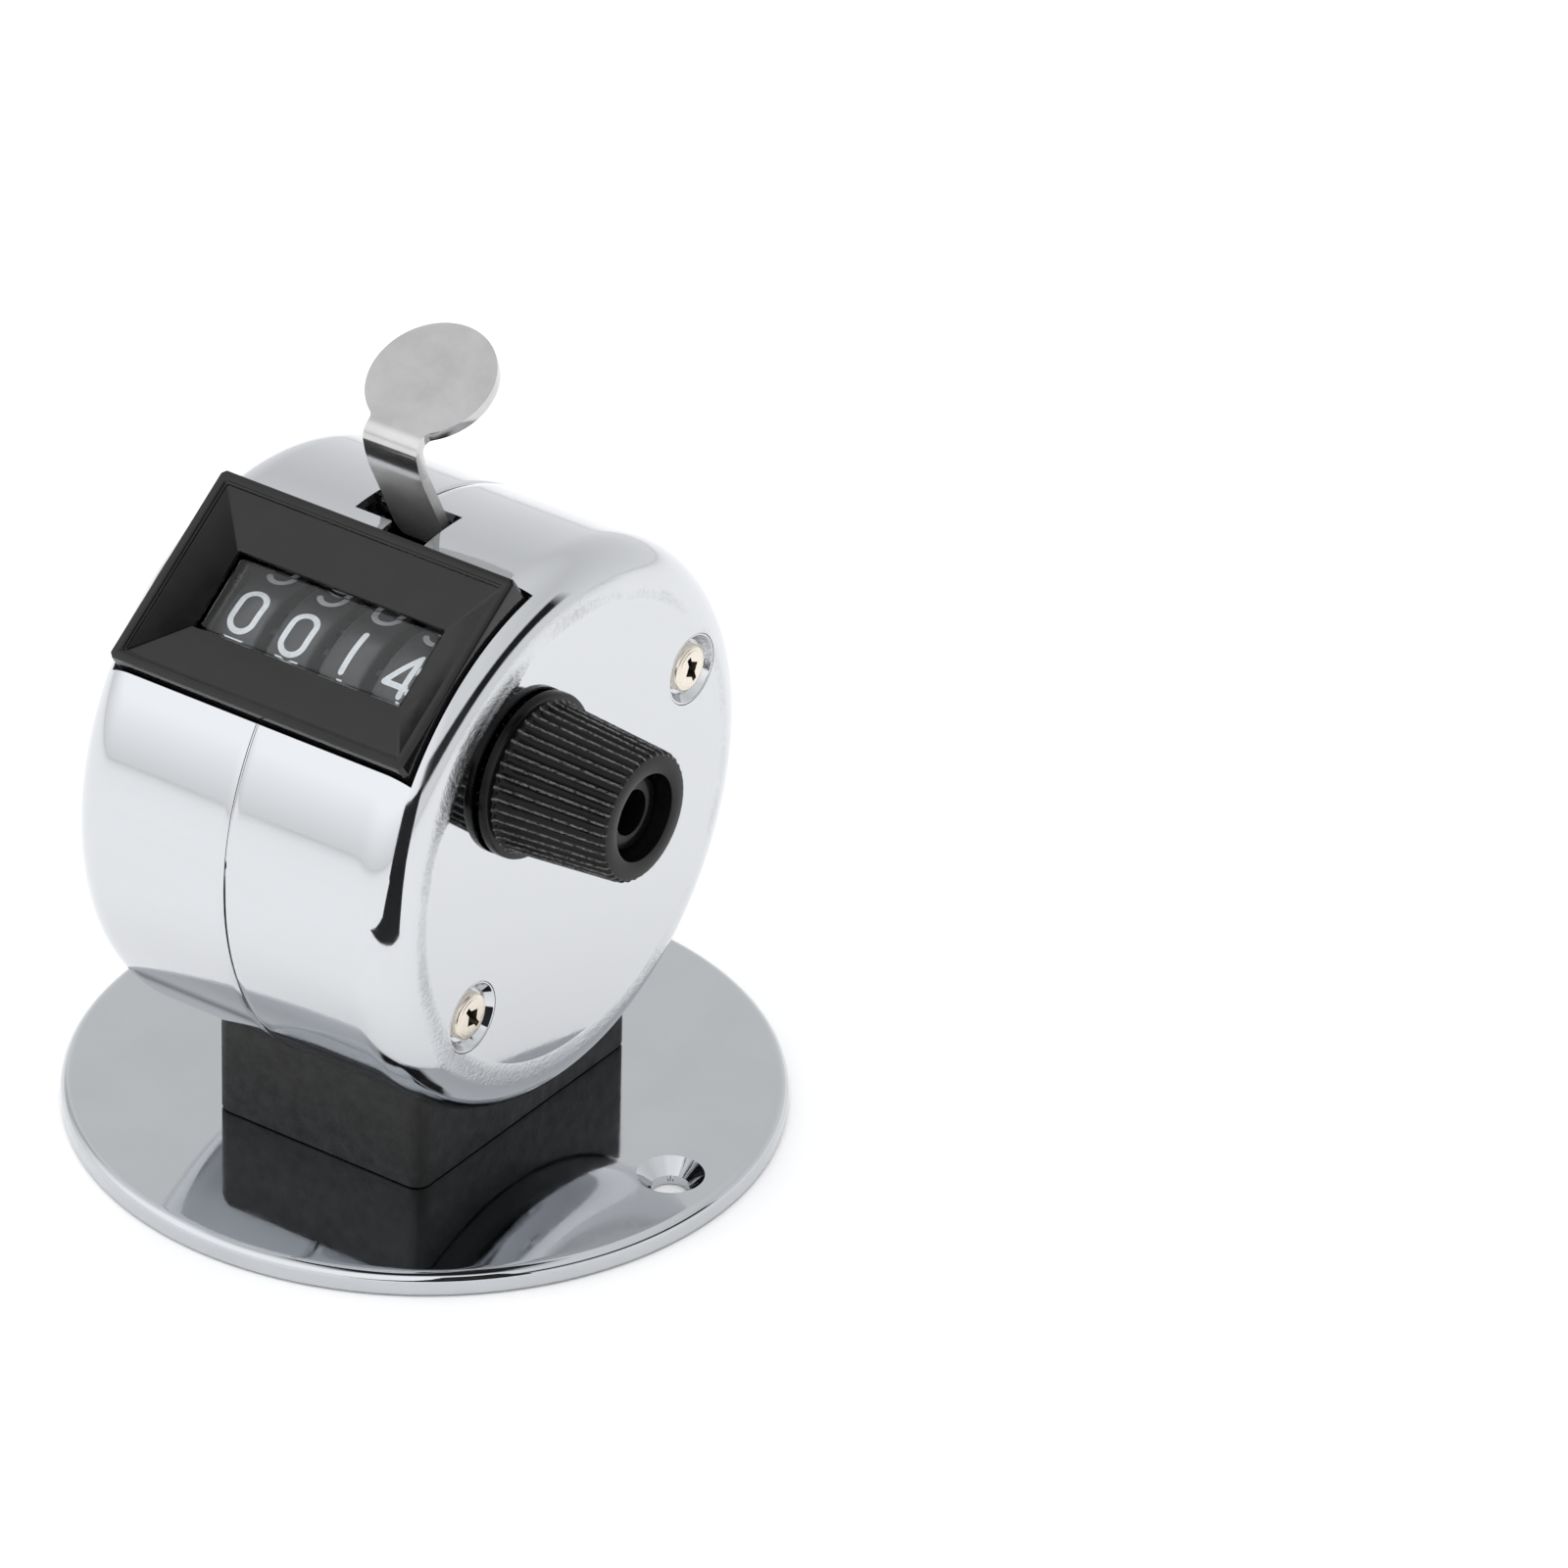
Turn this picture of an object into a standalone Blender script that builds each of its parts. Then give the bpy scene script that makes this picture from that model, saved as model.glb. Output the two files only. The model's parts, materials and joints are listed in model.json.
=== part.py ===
"""Hand tally counter on a desk base: drum case, reset knob, thumb lever and four-wheel register.

Metres, +Z up. Origin at the centre of the base plate's underside. +X runs along the wheel axle
towards the reset knob, and -Y is the front, where the window is.
"""

import math

import bmesh
import bpy
from mathutils import Matrix, Vector
from mathutils.geometry import convex_hull_2d

MM = 0.001
GAP = 0.3  # between pieces that touch, mm
RUN = 0.07  # radial clearance of a running fit, mm

PLATE_R, PLATE_T, PLATE_EDGE = 30.0, 2.0, 0.9
MOUNT_HOLE_X, MOUNT_HOLE_R, MOUNT_SINK_R = 25.0, 1.6, 2.8

BLOCK_X, BLOCK_Y, BLOCK_CENTRE_Y = 21.0, 28.6, -0.3
BASE_SCREW_X = 6.2

DRUM_Y, DRUM_Z = -2.3, 32.3
DRUM_R, DRUM_HALF, DRUM_FILLET, WALL = 24.4, 16.6, 4.0, 0.8
SEAM_HALF = 0.15

TILT = math.radians(34.6)  # the window's normal leans forward from +Z by this
WINDOW_UP = 0.8  # window centre, up its own face from the drum's radius
FACET = (0, DRUM_Y + WINDOW_UP * math.cos(TILT), DRUM_Z + WINDOW_UP * math.sin(TILT))
BEZEL_X, BEZEL_Y, BEZEL_TOP = 14.6, 9.1, 24.2
OPEN_X, OPEN_Y, OPEN_TOP = 10.3, 3.65, 22.5
LENS_TOP, LENS_T = 21.8, 0.7

AXLE_Y, AXLE_Z, AXLE_R = -8.85, 41.4, 1.2
WHEEL_R, WHEEL_PITCH, RIM_HALF, WHEEL_HALF = 8.9, 5.25, 2.07, 2.52
GEAR_TEETH, GEAR_TIP, GEAR_ROOT, LOCK_R = 20, 7.65, 6.49, 6.1
PINION_TEETH, PINION_TIP, PINION_ROOT, PINION_HALF = 8, 3.42, 2.08, 0.42
PINION_OUT, PINION_ANGLE, PINION_SHAFT_R = 10.2, math.radians(-50.0), 0.8
PINION_Y = AXLE_Y + PINION_OUT * math.cos(PINION_ANGLE)
PINION_Z = AXLE_Z + PINION_OUT * math.sin(PINION_ANGLE)
RATCHET_TEETH, RATCHET_TIP, RATCHET_ROOT = 10, 3.6, 2.9
RATCHET_X0, RATCHET_X1 = 10.55, 11.2

FRAME_LEFT_X, FRAME_RIGHT_X, FRAME_T = -11.6, 12.5, 0.8
FRAME_SCREWS = ((4.6, 45.5), (-12.5, 30.5))
SPACER_Y, SPACER_Z, SPACER_R = -16.6, 33.0, 1.2
SHELF_Y, SHELF_Z, SHELF_HALF, SHELF_T = 2.6, 39.6, 2.0, 0.8

PIVOT_Y, PIVOT_Z, PIVOT_R, HUB_R = 8.7, 48.8, 1.0, 2.0
PAWL_Y, PAWL_Z, PAWL_PIN_R = -5.5, 48.6, 0.8
LEVER_W, LEVER_T = 5.3, 1.0
PAD_R, PAD_Y, PAD_Z, PAD_TILT = 5.5, 0.5, 67.0, math.radians(28.0)
SLOT_X, SLOT_Y0, SLOT_Y1 = 4.2, -4.2, -0.7

KNOB_X0, KNOB_FLANGE_X, KNOB_X1 = 16.9, 17.8, 28.1
KNOB_FLANGE_R, KNOB_R0, KNOB_R1, FLUTES, FLUTE = 7.0, 6.3, 5.55, 40, 0.3
KNOB_BORE_END, KNOB_BOSS_X, KNOB_TRENCH_X = 22.0, 26.8, 25.2

CASE_SCREWS = {"upper": (13.4, 40.4), "lower": (-15.9, 21.9)}


def clear_scene():
    for obj in list(bpy.data.objects):
        bpy.data.objects.remove(obj, do_unlink=True)


def make_collection(name):
    made = bpy.data.collections.new(name)
    bpy.context.scene.collection.children.link(made)
    return made


def material(name, colour, roughness, metallic):
    made = bpy.data.materials.new(name)
    made.use_nodes = True
    shader = made.node_tree.nodes["Principled BSDF"]
    shader.inputs["Base Color"].default_value = (*colour, 1.0)
    shader.inputs["Roughness"].default_value = roughness
    shader.inputs["Metallic"].default_value = metallic
    return made


clear_scene()
PARTS = make_collection("hand_tally_counter")
CUTTERS = make_collection("cutters")
CHROME = ("chrome", (0.80, 0.81, 0.83), 0.06, 1.0)
STEEL = ("steel", (0.62, 0.62, 0.63), 0.28, 1.0)
NICKEL = ("nickel", (0.80, 0.76, 0.68), 0.25, 1.0)
BRASS = ("brass", (0.74, 0.57, 0.28), 0.25, 1.0)
BLACK = ("black_plastic", (0.02, 0.02, 0.022), 0.42, 0.0)
GRAIN = ("grained_plastic", (0.03, 0.03, 0.032), 0.6, 0.0)
DARK = ("wheel_plastic", (0.03, 0.03, 0.03), 0.45, 0.0)
CLEAR = ("clear_plastic", (0.9, 0.92, 0.93), 0.05, 0.0)


def add_object(name, mesh, look=None, at=(0, 0, 0), turn=(0, 0, 0)):
    """Links a mesh as a named piece, or as a cutter when it has no look. at is in mm."""
    obj = bpy.data.objects.new(name, mesh)
    obj.location = Vector(at) * MM
    obj.rotation_euler = turn
    if look is None:
        CUTTERS.objects.link(obj)
        obj.hide_render = True
        obj.display_type = "WIRE"
    else:
        PARTS.objects.link(obj)
        mesh.materials.clear()
        mesh.materials.append(material(name, *look[1:]))
    return obj


def mesh_of(name, bm, smooth=True):
    bmesh.ops.recalc_face_normals(bm, faces=bm.faces)
    mesh = bpy.data.meshes.new(name)
    bm.to_mesh(mesh)
    bm.free()
    if smooth:
        mesh.shade_smooth()
        mesh.set_sharp_from_angle(angle=math.radians(32))
    return mesh


def box(name, low, high, look=None, at=(0, 0, 0), turn=(0, 0, 0)):
    """A box between two corners, given in mm in the object's own axes."""
    bm = bmesh.new()
    bmesh.ops.create_cube(bm, size=1)
    size = [(b - a) * MM for a, b in zip(low, high)]
    middle = [(a + b) / 2 * MM for a, b in zip(low, high)]
    bmesh.ops.scale(bm, vec=size, verts=bm.verts)
    bmesh.ops.translate(bm, vec=middle, verts=bm.verts)
    return add_object(name, mesh_of(name, bm, False), look, at, turn)


def cone(name, r0, r1, low, high, look=None, at=(0, 0, 0), turn=(0, 0, 0), sides=24):
    """A cone or cylinder on its own Z axis, r0 at low and r1 at high."""
    bm = bmesh.new()
    bmesh.ops.create_cone(
        bm, cap_ends=True, segments=sides, radius1=r0 * MM, radius2=r1 * MM, depth=(high - low) * MM
    )
    bmesh.ops.translate(bm, vec=(0, 0, (low + high) / 2 * MM), verts=bm.verts)
    return add_object(name, mesh_of(name, bm), look, at, turn)


ALONG_X = (0, math.pi / 2, 0)
ALONG_MINUS_X = (0, -math.pi / 2, 0)


def rod(name, radius, x0, x1, y, z, look=None, sides=20):
    """A round bar along X."""
    return cone(name, radius, radius, x0, x1, look, (0, y, z), ALONG_X, sides)


def turned(name, profile, look=None, at=(0, 0, 0), turn=(0, 0, 0), steps=32, closed=False):
    """A Screw of a profile of (radius, height) in mm that runs down its outer side."""
    mesh = bpy.data.meshes.new(name)
    count = len(profile)
    edges = [(i, i + 1) for i in range(count - 1)] + ([(count - 1, 0)] if closed else [])
    mesh.from_pydata([(r * MM, 0, h * MM) for r, h in profile], edges, [])
    obj = add_object(name, mesh, look, at, turn)
    spin = obj.modifiers.new("spin", "SCREW")
    spin.steps = spin.render_steps = steps
    spin.use_merge_vertices = True
    spin.merge_threshold = 0.00001
    spin.use_smooth_shade = True
    return obj


def combine(obj, other, operation):
    joined = obj.modifiers.new(other.name, "BOOLEAN")
    joined.operation = operation
    joined.solver = "EXACT"
    joined.object = other


def cut(obj, *others):
    for other in others:
        combine(obj, other, "DIFFERENCE")


def fuse(obj, *others):
    for other in others:
        combine(obj, other, "UNION")


def bevel(obj, width, segments=2, angle=40):
    edge = obj.modifiers.new("edge", "BEVEL")
    edge.width = width * MM
    edge.segments = segments
    edge.limit_method = "ANGLE"
    edge.angle_limit = math.radians(angle)


def arc(centre_r, centre_h, radius, start, end, count):
    """Profile points from angle start to end, in degrees, 0 pointing outward."""
    angles = [math.radians(start + (end - start) * i / count) for i in range(count + 1)]
    return [(centre_r + radius * math.cos(a), centre_h + radius * math.sin(a)) for a in angles]


def loft(name, loops, look=None, at=(0, 0, 0), turn=(0, 0, 0)):
    """Joins equal loops of points in mm into one closed tube, the last loop to the first."""
    bm = bmesh.new()
    rows = [[bm.verts.new(Vector(p) * MM) for p in loop] for loop in loops]
    for row, after in zip(rows, rows[1:] + rows[:1]):
        for i in range(len(row)):
            j = (i + 1) % len(row)
            bm.faces.new((row[i], row[j], after[j], after[i]))
    return add_object(name, mesh_of(name, bm), look, at, turn)


def ring(x, count, radius, other=None, phase=0.0):
    """A loop about the X axis. With a second radius it zigzags, the first radius at the phase."""
    radii = (radius, radius if other is None else other)
    points = []
    for i in range(count):
        a = phase + math.tau * i / count
        r = radii[i % 2]
        points.append((x, r * math.cos(a), r * math.sin(a)))
    return points


def rounded_rect(half_x, half_y, radius, z, corner=2):
    points = []
    for quarter in range(4):
        cx = (half_x - radius) * (1 if quarter in (0, 3) else -1)
        cy = (half_y - radius) * (1 if quarter < 2 else -1)
        for i in range(corner + 1):
            a = math.pi / 2 * (quarter + i / corner)
            points.append((cx + radius * math.cos(a), cy + radius * math.sin(a), z))
    return points


def slab(name, outline, x0, x1, look=None, at=(0, 0, 0)):
    """A flat plate from x0 to x1 whose outline is given in (y, z)."""
    bm = bmesh.new()
    face = bm.faces.new([bm.verts.new(Vector((x0, y, z)) * MM) for y, z in outline])
    grown = bmesh.ops.extrude_face_region(bm, geom=[face])
    moved = [v for v in grown["geom"] if isinstance(v, bmesh.types.BMVert)]
    bmesh.ops.translate(bm, vec=((x1 - x0) * MM, 0, 0), verts=moved)
    return add_object(name, mesh_of(name, bm), look, at)


def hull_of(circles, sides=16):
    """The outline round a set of (y, z, radius)."""
    points = []
    for y, z, r in circles:
        for i in range(sides):
            a = math.tau * i / sides
            points.append(Vector((y + r * math.cos(a), z + r * math.sin(a))))
    return [tuple(points[i]) for i in convex_hull_2d(points)]


def ribbon(path, thickness):
    """The outline of a bent strip whose centre line is the (y, z) path."""
    sides = ([], [])
    for i, point in enumerate(path):
        before, after = path[max(i - 1, 0)], path[min(i + 1, len(path) - 1)]
        d_in = Vector((point[0] - before[0], point[1] - before[1]))
        d_out = Vector((after[0] - point[0], after[1] - point[1]))
        d_in = d_in.normalized() if d_in.length else d_out.normalized()
        d_out = d_out.normalized() if d_out.length else d_in
        along = (d_in + d_out).normalized()
        width = thickness / 2 / max(along.dot(d_in), 0.5)
        sides[0].append((point[0] - along.y * width, point[1] + along.x * width))
        sides[1].append((point[0] + along.y * width, point[1] - along.x * width))
    return sides[0] + sides[1][::-1]


def cross_recess(obj, at, turn, size, depth):
    """Cuts a cross into a screw head whose top faces the object's own +Z."""
    for i, spin in enumerate((0, math.pi / 2)):
        low, high = (-size, -size * 0.24, -depth), (size, size * 0.24, 2.0)
        blade = box(f"{obj.name}_recess_{i}", low, high, None, at, turn)
        blade.rotation_euler = (blade.rotation_euler.to_matrix()
                                @ Matrix.Rotation(spin, 3, "Z")).to_euler()
        cut(obj, blade)


def pan_screw(name, at, turn, head_r, head_h, shank_r, length, look, recess):
    """A pan-head screw, its seat at height 0 and its shank pointing down its own Z."""
    dome = [(0, head_h), (head_r * 0.45, head_h * 0.96), (head_r * 0.8, head_h * 0.72)]
    side = [(head_r, head_h * 0.35), (head_r, 0), (shank_r, 0)]
    tail = [(shank_r, -length + 0.4), (shank_r - 0.4, -length), (0, -length)]
    obj = turned(name, dome + side + tail, look, at, turn, steps=16)
    if recess:
        tip = Vector(at) + Matrix.Rotation(turn[1], 3, "Y") @ Vector((0, 0, head_h))
        cross_recess(obj, tip, turn, head_r * 0.55, head_h * 0.55)
    return obj


def make_base():
    top = arc(PLATE_R - PLATE_EDGE, PLATE_T - PLATE_EDGE, PLATE_EDGE, 90, 0, 3)
    profile = [(0, PLATE_T), *top, (PLATE_R, 0.2), (PLATE_R - 0.2, 0), (0, 0)]
    plate = turned("base_plate", profile, CHROME, steps=64)
    for side, name in ((-1, "left"), (1, "right")):
        x = side * MOUNT_HOLE_X
        cut(plate, cone(f"mount_hole_{name}", MOUNT_HOLE_R, MOUNT_HOLE_R, -1, 3, None, (x, 0, 0)))
        sink = (f"mount_sink_{name}", MOUNT_HOLE_R * 0.9, MOUNT_SINK_R + 0.5, PLATE_T - 1.35)
        cut(plate, cone(*sink, PLATE_T + 0.5, None, (x, 0, 0)))
    low, high = (-BLOCK_X / 2, -BLOCK_Y / 2, PLATE_T + GAP), (BLOCK_X / 2, BLOCK_Y / 2, 20)
    block = box("pedestal_block", low, high, GRAIN, (0, BLOCK_CENTRE_Y, 0))
    bevel(block, 1.2, 3, 80)
    cut(block, rod("saddle", DRUM_R + GAP, -12, 12, DRUM_Y, DRUM_Z, sides=80))
    for side, name in ((-1, "left"), (1, "right")):
        at = (side * BASE_SCREW_X, DRUM_Y, 0)
        cut(plate, cone(f"base_hole_{name}", 1.8, 1.8, -1, 3, None, at, sides=16))
        cut(plate, cone(f"base_sink_{name}", 3.65, 1.7, -0.3, 1.65, None, at))
        cut(block, cone(f"block_hole_{name}", 1.8, 1.8, 1, 20, None, at, sides=16))
        head = [(0, 13.2), (1.1, 13.2), (1.5, 12.8), (1.5, 1.65), (3.0, 0.25), (3.0, 0.1), (0, 0.1)]
        screw = turned(f"pedestal_screw_{name}", head, STEEL, at, steps=16)
        cross_recess(screw, (at[0], at[1], 0.1), (math.pi, 0, 0), 1.6, 0.9)


def cup_profile():
    """A half case: closed end up, open at the seam."""
    corner, inner = DRUM_R - DRUM_FILLET, DRUM_FILLET - WALL
    knee = DRUM_HALF - DRUM_FILLET
    outside = arc(corner, knee, DRUM_FILLET, 90, 0, 4)
    inside = arc(corner, knee, inner, 0, 90, 3)
    lip = [(DRUM_R, SEAM_HALF), (DRUM_R - WALL, SEAM_HALF)]
    return [(0, DRUM_HALF), *outside, *lip, *inside, (0, DRUM_HALF - WALL)]


def open_case(shell, side):
    """Cuts the window and the lever slot, and adds the base boss.

    Both halves share the two cuts, and on the right one the slot runs on into the window.
    """
    name = shell.name
    window = ((-BEZEL_X - GAP, -BEZEL_Y - GAP, 14), (BEZEL_X + GAP, BEZEL_Y + GAP, 30))
    cut(shell, box(f"{name}_window", *window, None, FACET, (TILT, 0, 0)))
    cut(shell, box(f"{name}_slot", (-SLOT_X, SLOT_Y0, 50), (SLOT_X, SLOT_Y1, 60)))
    if side > 0:
        cut(shell, box(f"{name}_notch", (-1, SLOT_Y0 - 3.2, 52), (SLOT_X, SLOT_Y0 + 1, 60)))
    at = (side * BASE_SCREW_X, DRUM_Y, 0)
    fuse(shell, cone(f"{name}_boss", 3.0, 3.0, DRUM_Z - DRUM_R + 0.4, 15, None, at, sides=20))
    cut(shell, cone(f"{name}_boss_hole", 1.8, 1.8, 4, 13.5, None, at, sides=16))


def make_case():
    centre = (0, DRUM_Y, DRUM_Z)
    left = turned("left_shell", cup_profile(), CHROME, centre, ALONG_MINUS_X, steps=52)
    right = turned("right_shell", cup_profile(), CHROME, centre, ALONG_X, steps=52)
    open_case(left, -1)
    open_case(right, 1)
    inner = DRUM_HALF - WALL
    for name, (y, z) in CASE_SCREWS.items():
        fuse(left, rod(f"case_post_{name}", 2.3, -inner - 0.4, 13.5, y, z))
        cut(left, rod(f"case_post_hole_{name}", 1.3, 4.0, 14.5, y, z, sides=16))
        fuse(right, rod(f"case_dish_{name}", 3.5, 13.9, inner + 0.4, y, z, sides=24))
        dish = (f"case_sink_{name}", 2.35, 3.35, DRUM_HALF - 1.2, DRUM_HALF + 0.6)
        cut(right, cone(*dish, None, (0, y, z), ALONG_X))
        cut(right, rod(f"case_hole_{name}", 1.3, 13, 17, y, z, sides=16))
        seat = (DRUM_HALF - 1.2 + 0.1, y, z)
        pan_screw(f"case_screw_{name}", seat, ALONG_X, 2.1, 1.3, 1.0, 9.0, NICKEL, True)
    cut(right, rod("bush_hole", 3.3, 14, 18, AXLE_Y, AXLE_Z))
    for i, (y, z) in enumerate(FRAME_SCREWS):
        fuse(left, rod(f"frame_boss_{i}", 2.2, -inner - 0.4, FRAME_LEFT_X - GAP, y, z))
        cut(left, rod(f"frame_boss_hole_{i}", 1.1, -15.5, -11, y, z, sides=16))


def make_window():
    loops = [
        rounded_rect(BEZEL_X - 0.15, BEZEL_Y - 0.15, 0.5, BEZEL_TOP),
        rounded_rect(BEZEL_X, BEZEL_Y, 0.6, BEZEL_TOP - 0.15),
        rounded_rect(BEZEL_X, BEZEL_Y, 0.6, 21.0),
        rounded_rect(12.2, 5.4, 0.3, 21.0),
        rounded_rect(12.2, 5.4, 0.3, LENS_TOP + GAP),
        rounded_rect(OPEN_X, OPEN_Y, 0.3, LENS_TOP + GAP),
        rounded_rect(OPEN_X, OPEN_Y, 0.3, OPEN_TOP),
        rounded_rect(BEZEL_X - 1.0, BEZEL_Y - 1.0, 0.4, BEZEL_TOP - 0.2),
        rounded_rect(BEZEL_X - 0.85, BEZEL_Y - 0.85, 0.4, BEZEL_TOP),
    ]
    loft("window_bezel", loops, BLACK, FACET, (TILT, 0, 0))
    low, high = (-11.9, -5.1, LENS_TOP - LENS_T), (11.9, 5.1, LENS_TOP)
    box("window_lens", low, high, CLEAR, FACET, (TILT, 0, 0))


def make_knob():
    sides = 2 * FLUTES
    bore = AXLE_R + GAP
    plain = lambda x, r: ring(x, sides, r)
    loops = [
        plain(KNOB_X0, bore),
        plain(KNOB_BORE_END, bore),
        plain(KNOB_BORE_END, 1.9),
        plain(KNOB_BOSS_X, 1.9),
        plain(KNOB_BOSS_X, 3.1),
        plain(KNOB_TRENCH_X, 3.1),
        plain(KNOB_TRENCH_X, 3.55),
        plain(KNOB_X1, 3.7),
        plain(KNOB_X1, KNOB_R1 - 0.35),
        ring(KNOB_X1 - 0.35, sides, KNOB_R1, KNOB_R1 - FLUTE),
        ring(KNOB_FLANGE_X + 0.5, sides, KNOB_R0, KNOB_R0 - FLUTE),
        plain(KNOB_FLANGE_X, KNOB_R0),
        plain(KNOB_FLANGE_X, KNOB_FLANGE_R - 0.2),
        plain(KNOB_FLANGE_X - 0.2, KNOB_FLANGE_R),
        plain(KNOB_X0, KNOB_FLANGE_R),
    ]
    loft("reset_knob", loops, BLACK, (0, AXLE_Y, AXLE_Z))
    rod("wheel_axle", AXLE_R, -12.9, KNOB_BORE_END - 0.5, AXLE_Y, AXLE_Z, STEEL)
    bush = [(3.0, 16.6), (3.0, 15.5), (4.3, 15.5), (4.3, 14.8), (AXLE_R + RUN, 14.8),
            (AXLE_R + RUN, 16.6)]
    turned("axle_bush", bush, BRASS, (0, AXLE_Y, AXLE_Z), ALONG_X, steps=24, closed=True)
    clip = [(2.4, -11.9), (2.4, -12.4), (AXLE_R + GAP, -12.4), (AXLE_R + GAP, -11.9)]
    turned("axle_clip", clip, STEEL, (0, AXLE_Y, AXLE_Z), ALONG_X, steps=20, closed=True)


def wheel_loops():
    """A figure wheel: locking disc, rim, and gear ring towards the next higher place."""
    sides = 2 * GEAR_TEETH
    phase = PINION_ANGLE + math.pi / GEAR_TEETH
    plain = lambda x, r: ring(x, sides, r, None, phase)
    teeth = lambda x: ring(x, sides, GEAR_TIP, GEAR_ROOT, phase)
    bore = AXLE_R + RUN
    return [
        plain(-WHEEL_HALF, bore),
        plain(-WHEEL_HALF, LOCK_R),
        plain(-RIM_HALF, LOCK_R),
        plain(-RIM_HALF, WHEEL_R),
        plain(RIM_HALF, WHEEL_R),
        teeth(RIM_HALF),
        teeth(WHEEL_HALF),
        plain(WHEEL_HALF, bore),
    ]


def pinion_loops():
    sides, toward = 2 * PINION_TEETH, PINION_ANGLE + math.pi
    bore = lambda x: ring(x, sides, PINION_SHAFT_R + RUN, None, toward)
    teeth = lambda x: ring(x, sides, PINION_TIP, PINION_ROOT, toward)
    return [bore(-PINION_HALF), teeth(-PINION_HALF), teeth(PINION_HALF), bore(PINION_HALF)]


def ratchet_loops():
    """Saw teeth that a downward push on the far side turns."""
    bore, teeth = [], []
    for tooth in range(RATCHET_TEETH):
        for turn, rise in ((0.0, 0.0), (0.5, 0.5), (0.97, 1.0)):
            a = math.tau * (tooth + turn) / RATCHET_TEETH
            r = RATCHET_ROOT + rise * (RATCHET_TIP - RATCHET_ROOT)
            bore.append(((AXLE_R + GAP) * math.cos(a), (AXLE_R + GAP) * math.sin(a)))
            teeth.append((r * math.cos(a), r * math.sin(a)))
    order = ((RATCHET_X0, bore), (RATCHET_X0, teeth), (RATCHET_X1, teeth), (RATCHET_X1, bore))
    return [[(x, y, z) for y, z in row] for x, row in order]


def make_wheels():
    for i, name in enumerate(("thousands", "hundreds", "tens", "units")):
        x = (i - 1.5) * WHEEL_PITCH
        loft(f"digit_wheel_{name}", wheel_loops(), DARK, (x, AXLE_Y, AXLE_Z))
    for i in range(3):
        at = ((i - 1) * WHEEL_PITCH, PINION_Y, PINION_Z)
        loft(f"transfer_pinion_{i + 1}", pinion_loops(), BRASS, at)
    rod("pinion_shaft", PINION_SHAFT_R, -12.1, 13.8, PINION_Y, PINION_Z, STEEL, 16)
    loft("ratchet_wheel", ratchet_loops(), STEEL, (0, AXLE_Y, AXLE_Z))


def make_frame():
    lobes = [(AXLE_Y, AXLE_Z, 3.6), (PIVOT_Y, PIVOT_Z, 2.6), (PINION_Y, PINION_Z, 2.2),
             (SPACER_Y, SPACER_Z, 2.2), (SHELF_Y, SHELF_Z, 3.2), (*FRAME_SCREWS[0], 2.4),
             (*FRAME_SCREWS[1], 2.4)]
    outline = hull_of(lobes)
    for name, x0 in (("left", FRAME_LEFT_X), ("right", FRAME_RIGHT_X)):
        plate = slab(f"frame_plate_{name}", outline, x0, x0 + FRAME_T, STEEL)
        holes = ((AXLE_Y, AXLE_Z, AXLE_R + RUN), (PINION_Y, PINION_Z, PINION_SHAFT_R + GAP),
                 (PIVOT_Y, PIVOT_Z, PIVOT_R + GAP))
        for i, (y, z, r) in enumerate(holes):
            cut(plate, rod(f"frame_{name}_hole_{i}", r, x0 - 1, x0 + 2, y, z, sides=20))
        if name == "left":
            for i, (y, z) in enumerate(FRAME_SCREWS):
                cut(plate, rod(f"frame_screw_hole_{i}", 1.1, x0 - 1, x0 + 2, y, z, sides=16))
    inside = (FRAME_LEFT_X + FRAME_T + GAP, FRAME_RIGHT_X - GAP)
    rod("frame_spacer_front", SPACER_R, *inside, SPACER_Y, SPACER_Z, STEEL, 16)
    low = (inside[0], SHELF_Y - SHELF_HALF, SHELF_Z - SHELF_T / 2)
    high = (inside[1], SHELF_Y + SHELF_HALF, SHELF_Z + SHELF_T / 2)
    box("spring_shelf", low, high, STEEL)
    for (y, z), name in zip(FRAME_SCREWS, ("upper", "lower")):
        seat = (FRAME_LEFT_X + FRAME_T + 0.15, y, z)
        pan_screw(f"frame_screw_{name}", seat, ALONG_X, 1.6, 0.9, 0.8, 4.4, STEEL, False)
    path = [(AXLE_Y - 2.4, AXLE_Z - 8.6), (AXLE_Y - 4.2, AXLE_Z - 4.6), (AXLE_Y - 4.35, AXLE_Z - 1.2),
            (AXLE_Y - 4.9, AXLE_Z + 0.4)]
    slab("detent_spring", ribbon(path, 0.3), RATCHET_X0, RATCHET_X1 + 0.9, STEEL)


def lever_path():
    """Centre line of the strip, from the pad's front edge down through the slot to the hub."""
    neck = (PAD_Y - (PAD_R - 0.1) * math.cos(PAD_TILT), PAD_Z - (PAD_R - 0.1) * math.sin(PAD_TILT))
    start = (neck[0] + 0.9 * math.cos(PAD_TILT), neck[1] + 0.9 * math.sin(PAD_TILT))
    return [start, neck, (-4.68, 63.9), (-1.62, 56.5), (-0.7, 54.4), (0.6, 52.5), (3.4, 51.0),
            (PIVOT_Y - 0.6, PIVOT_Z + HUB_R - 0.75)]


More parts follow.
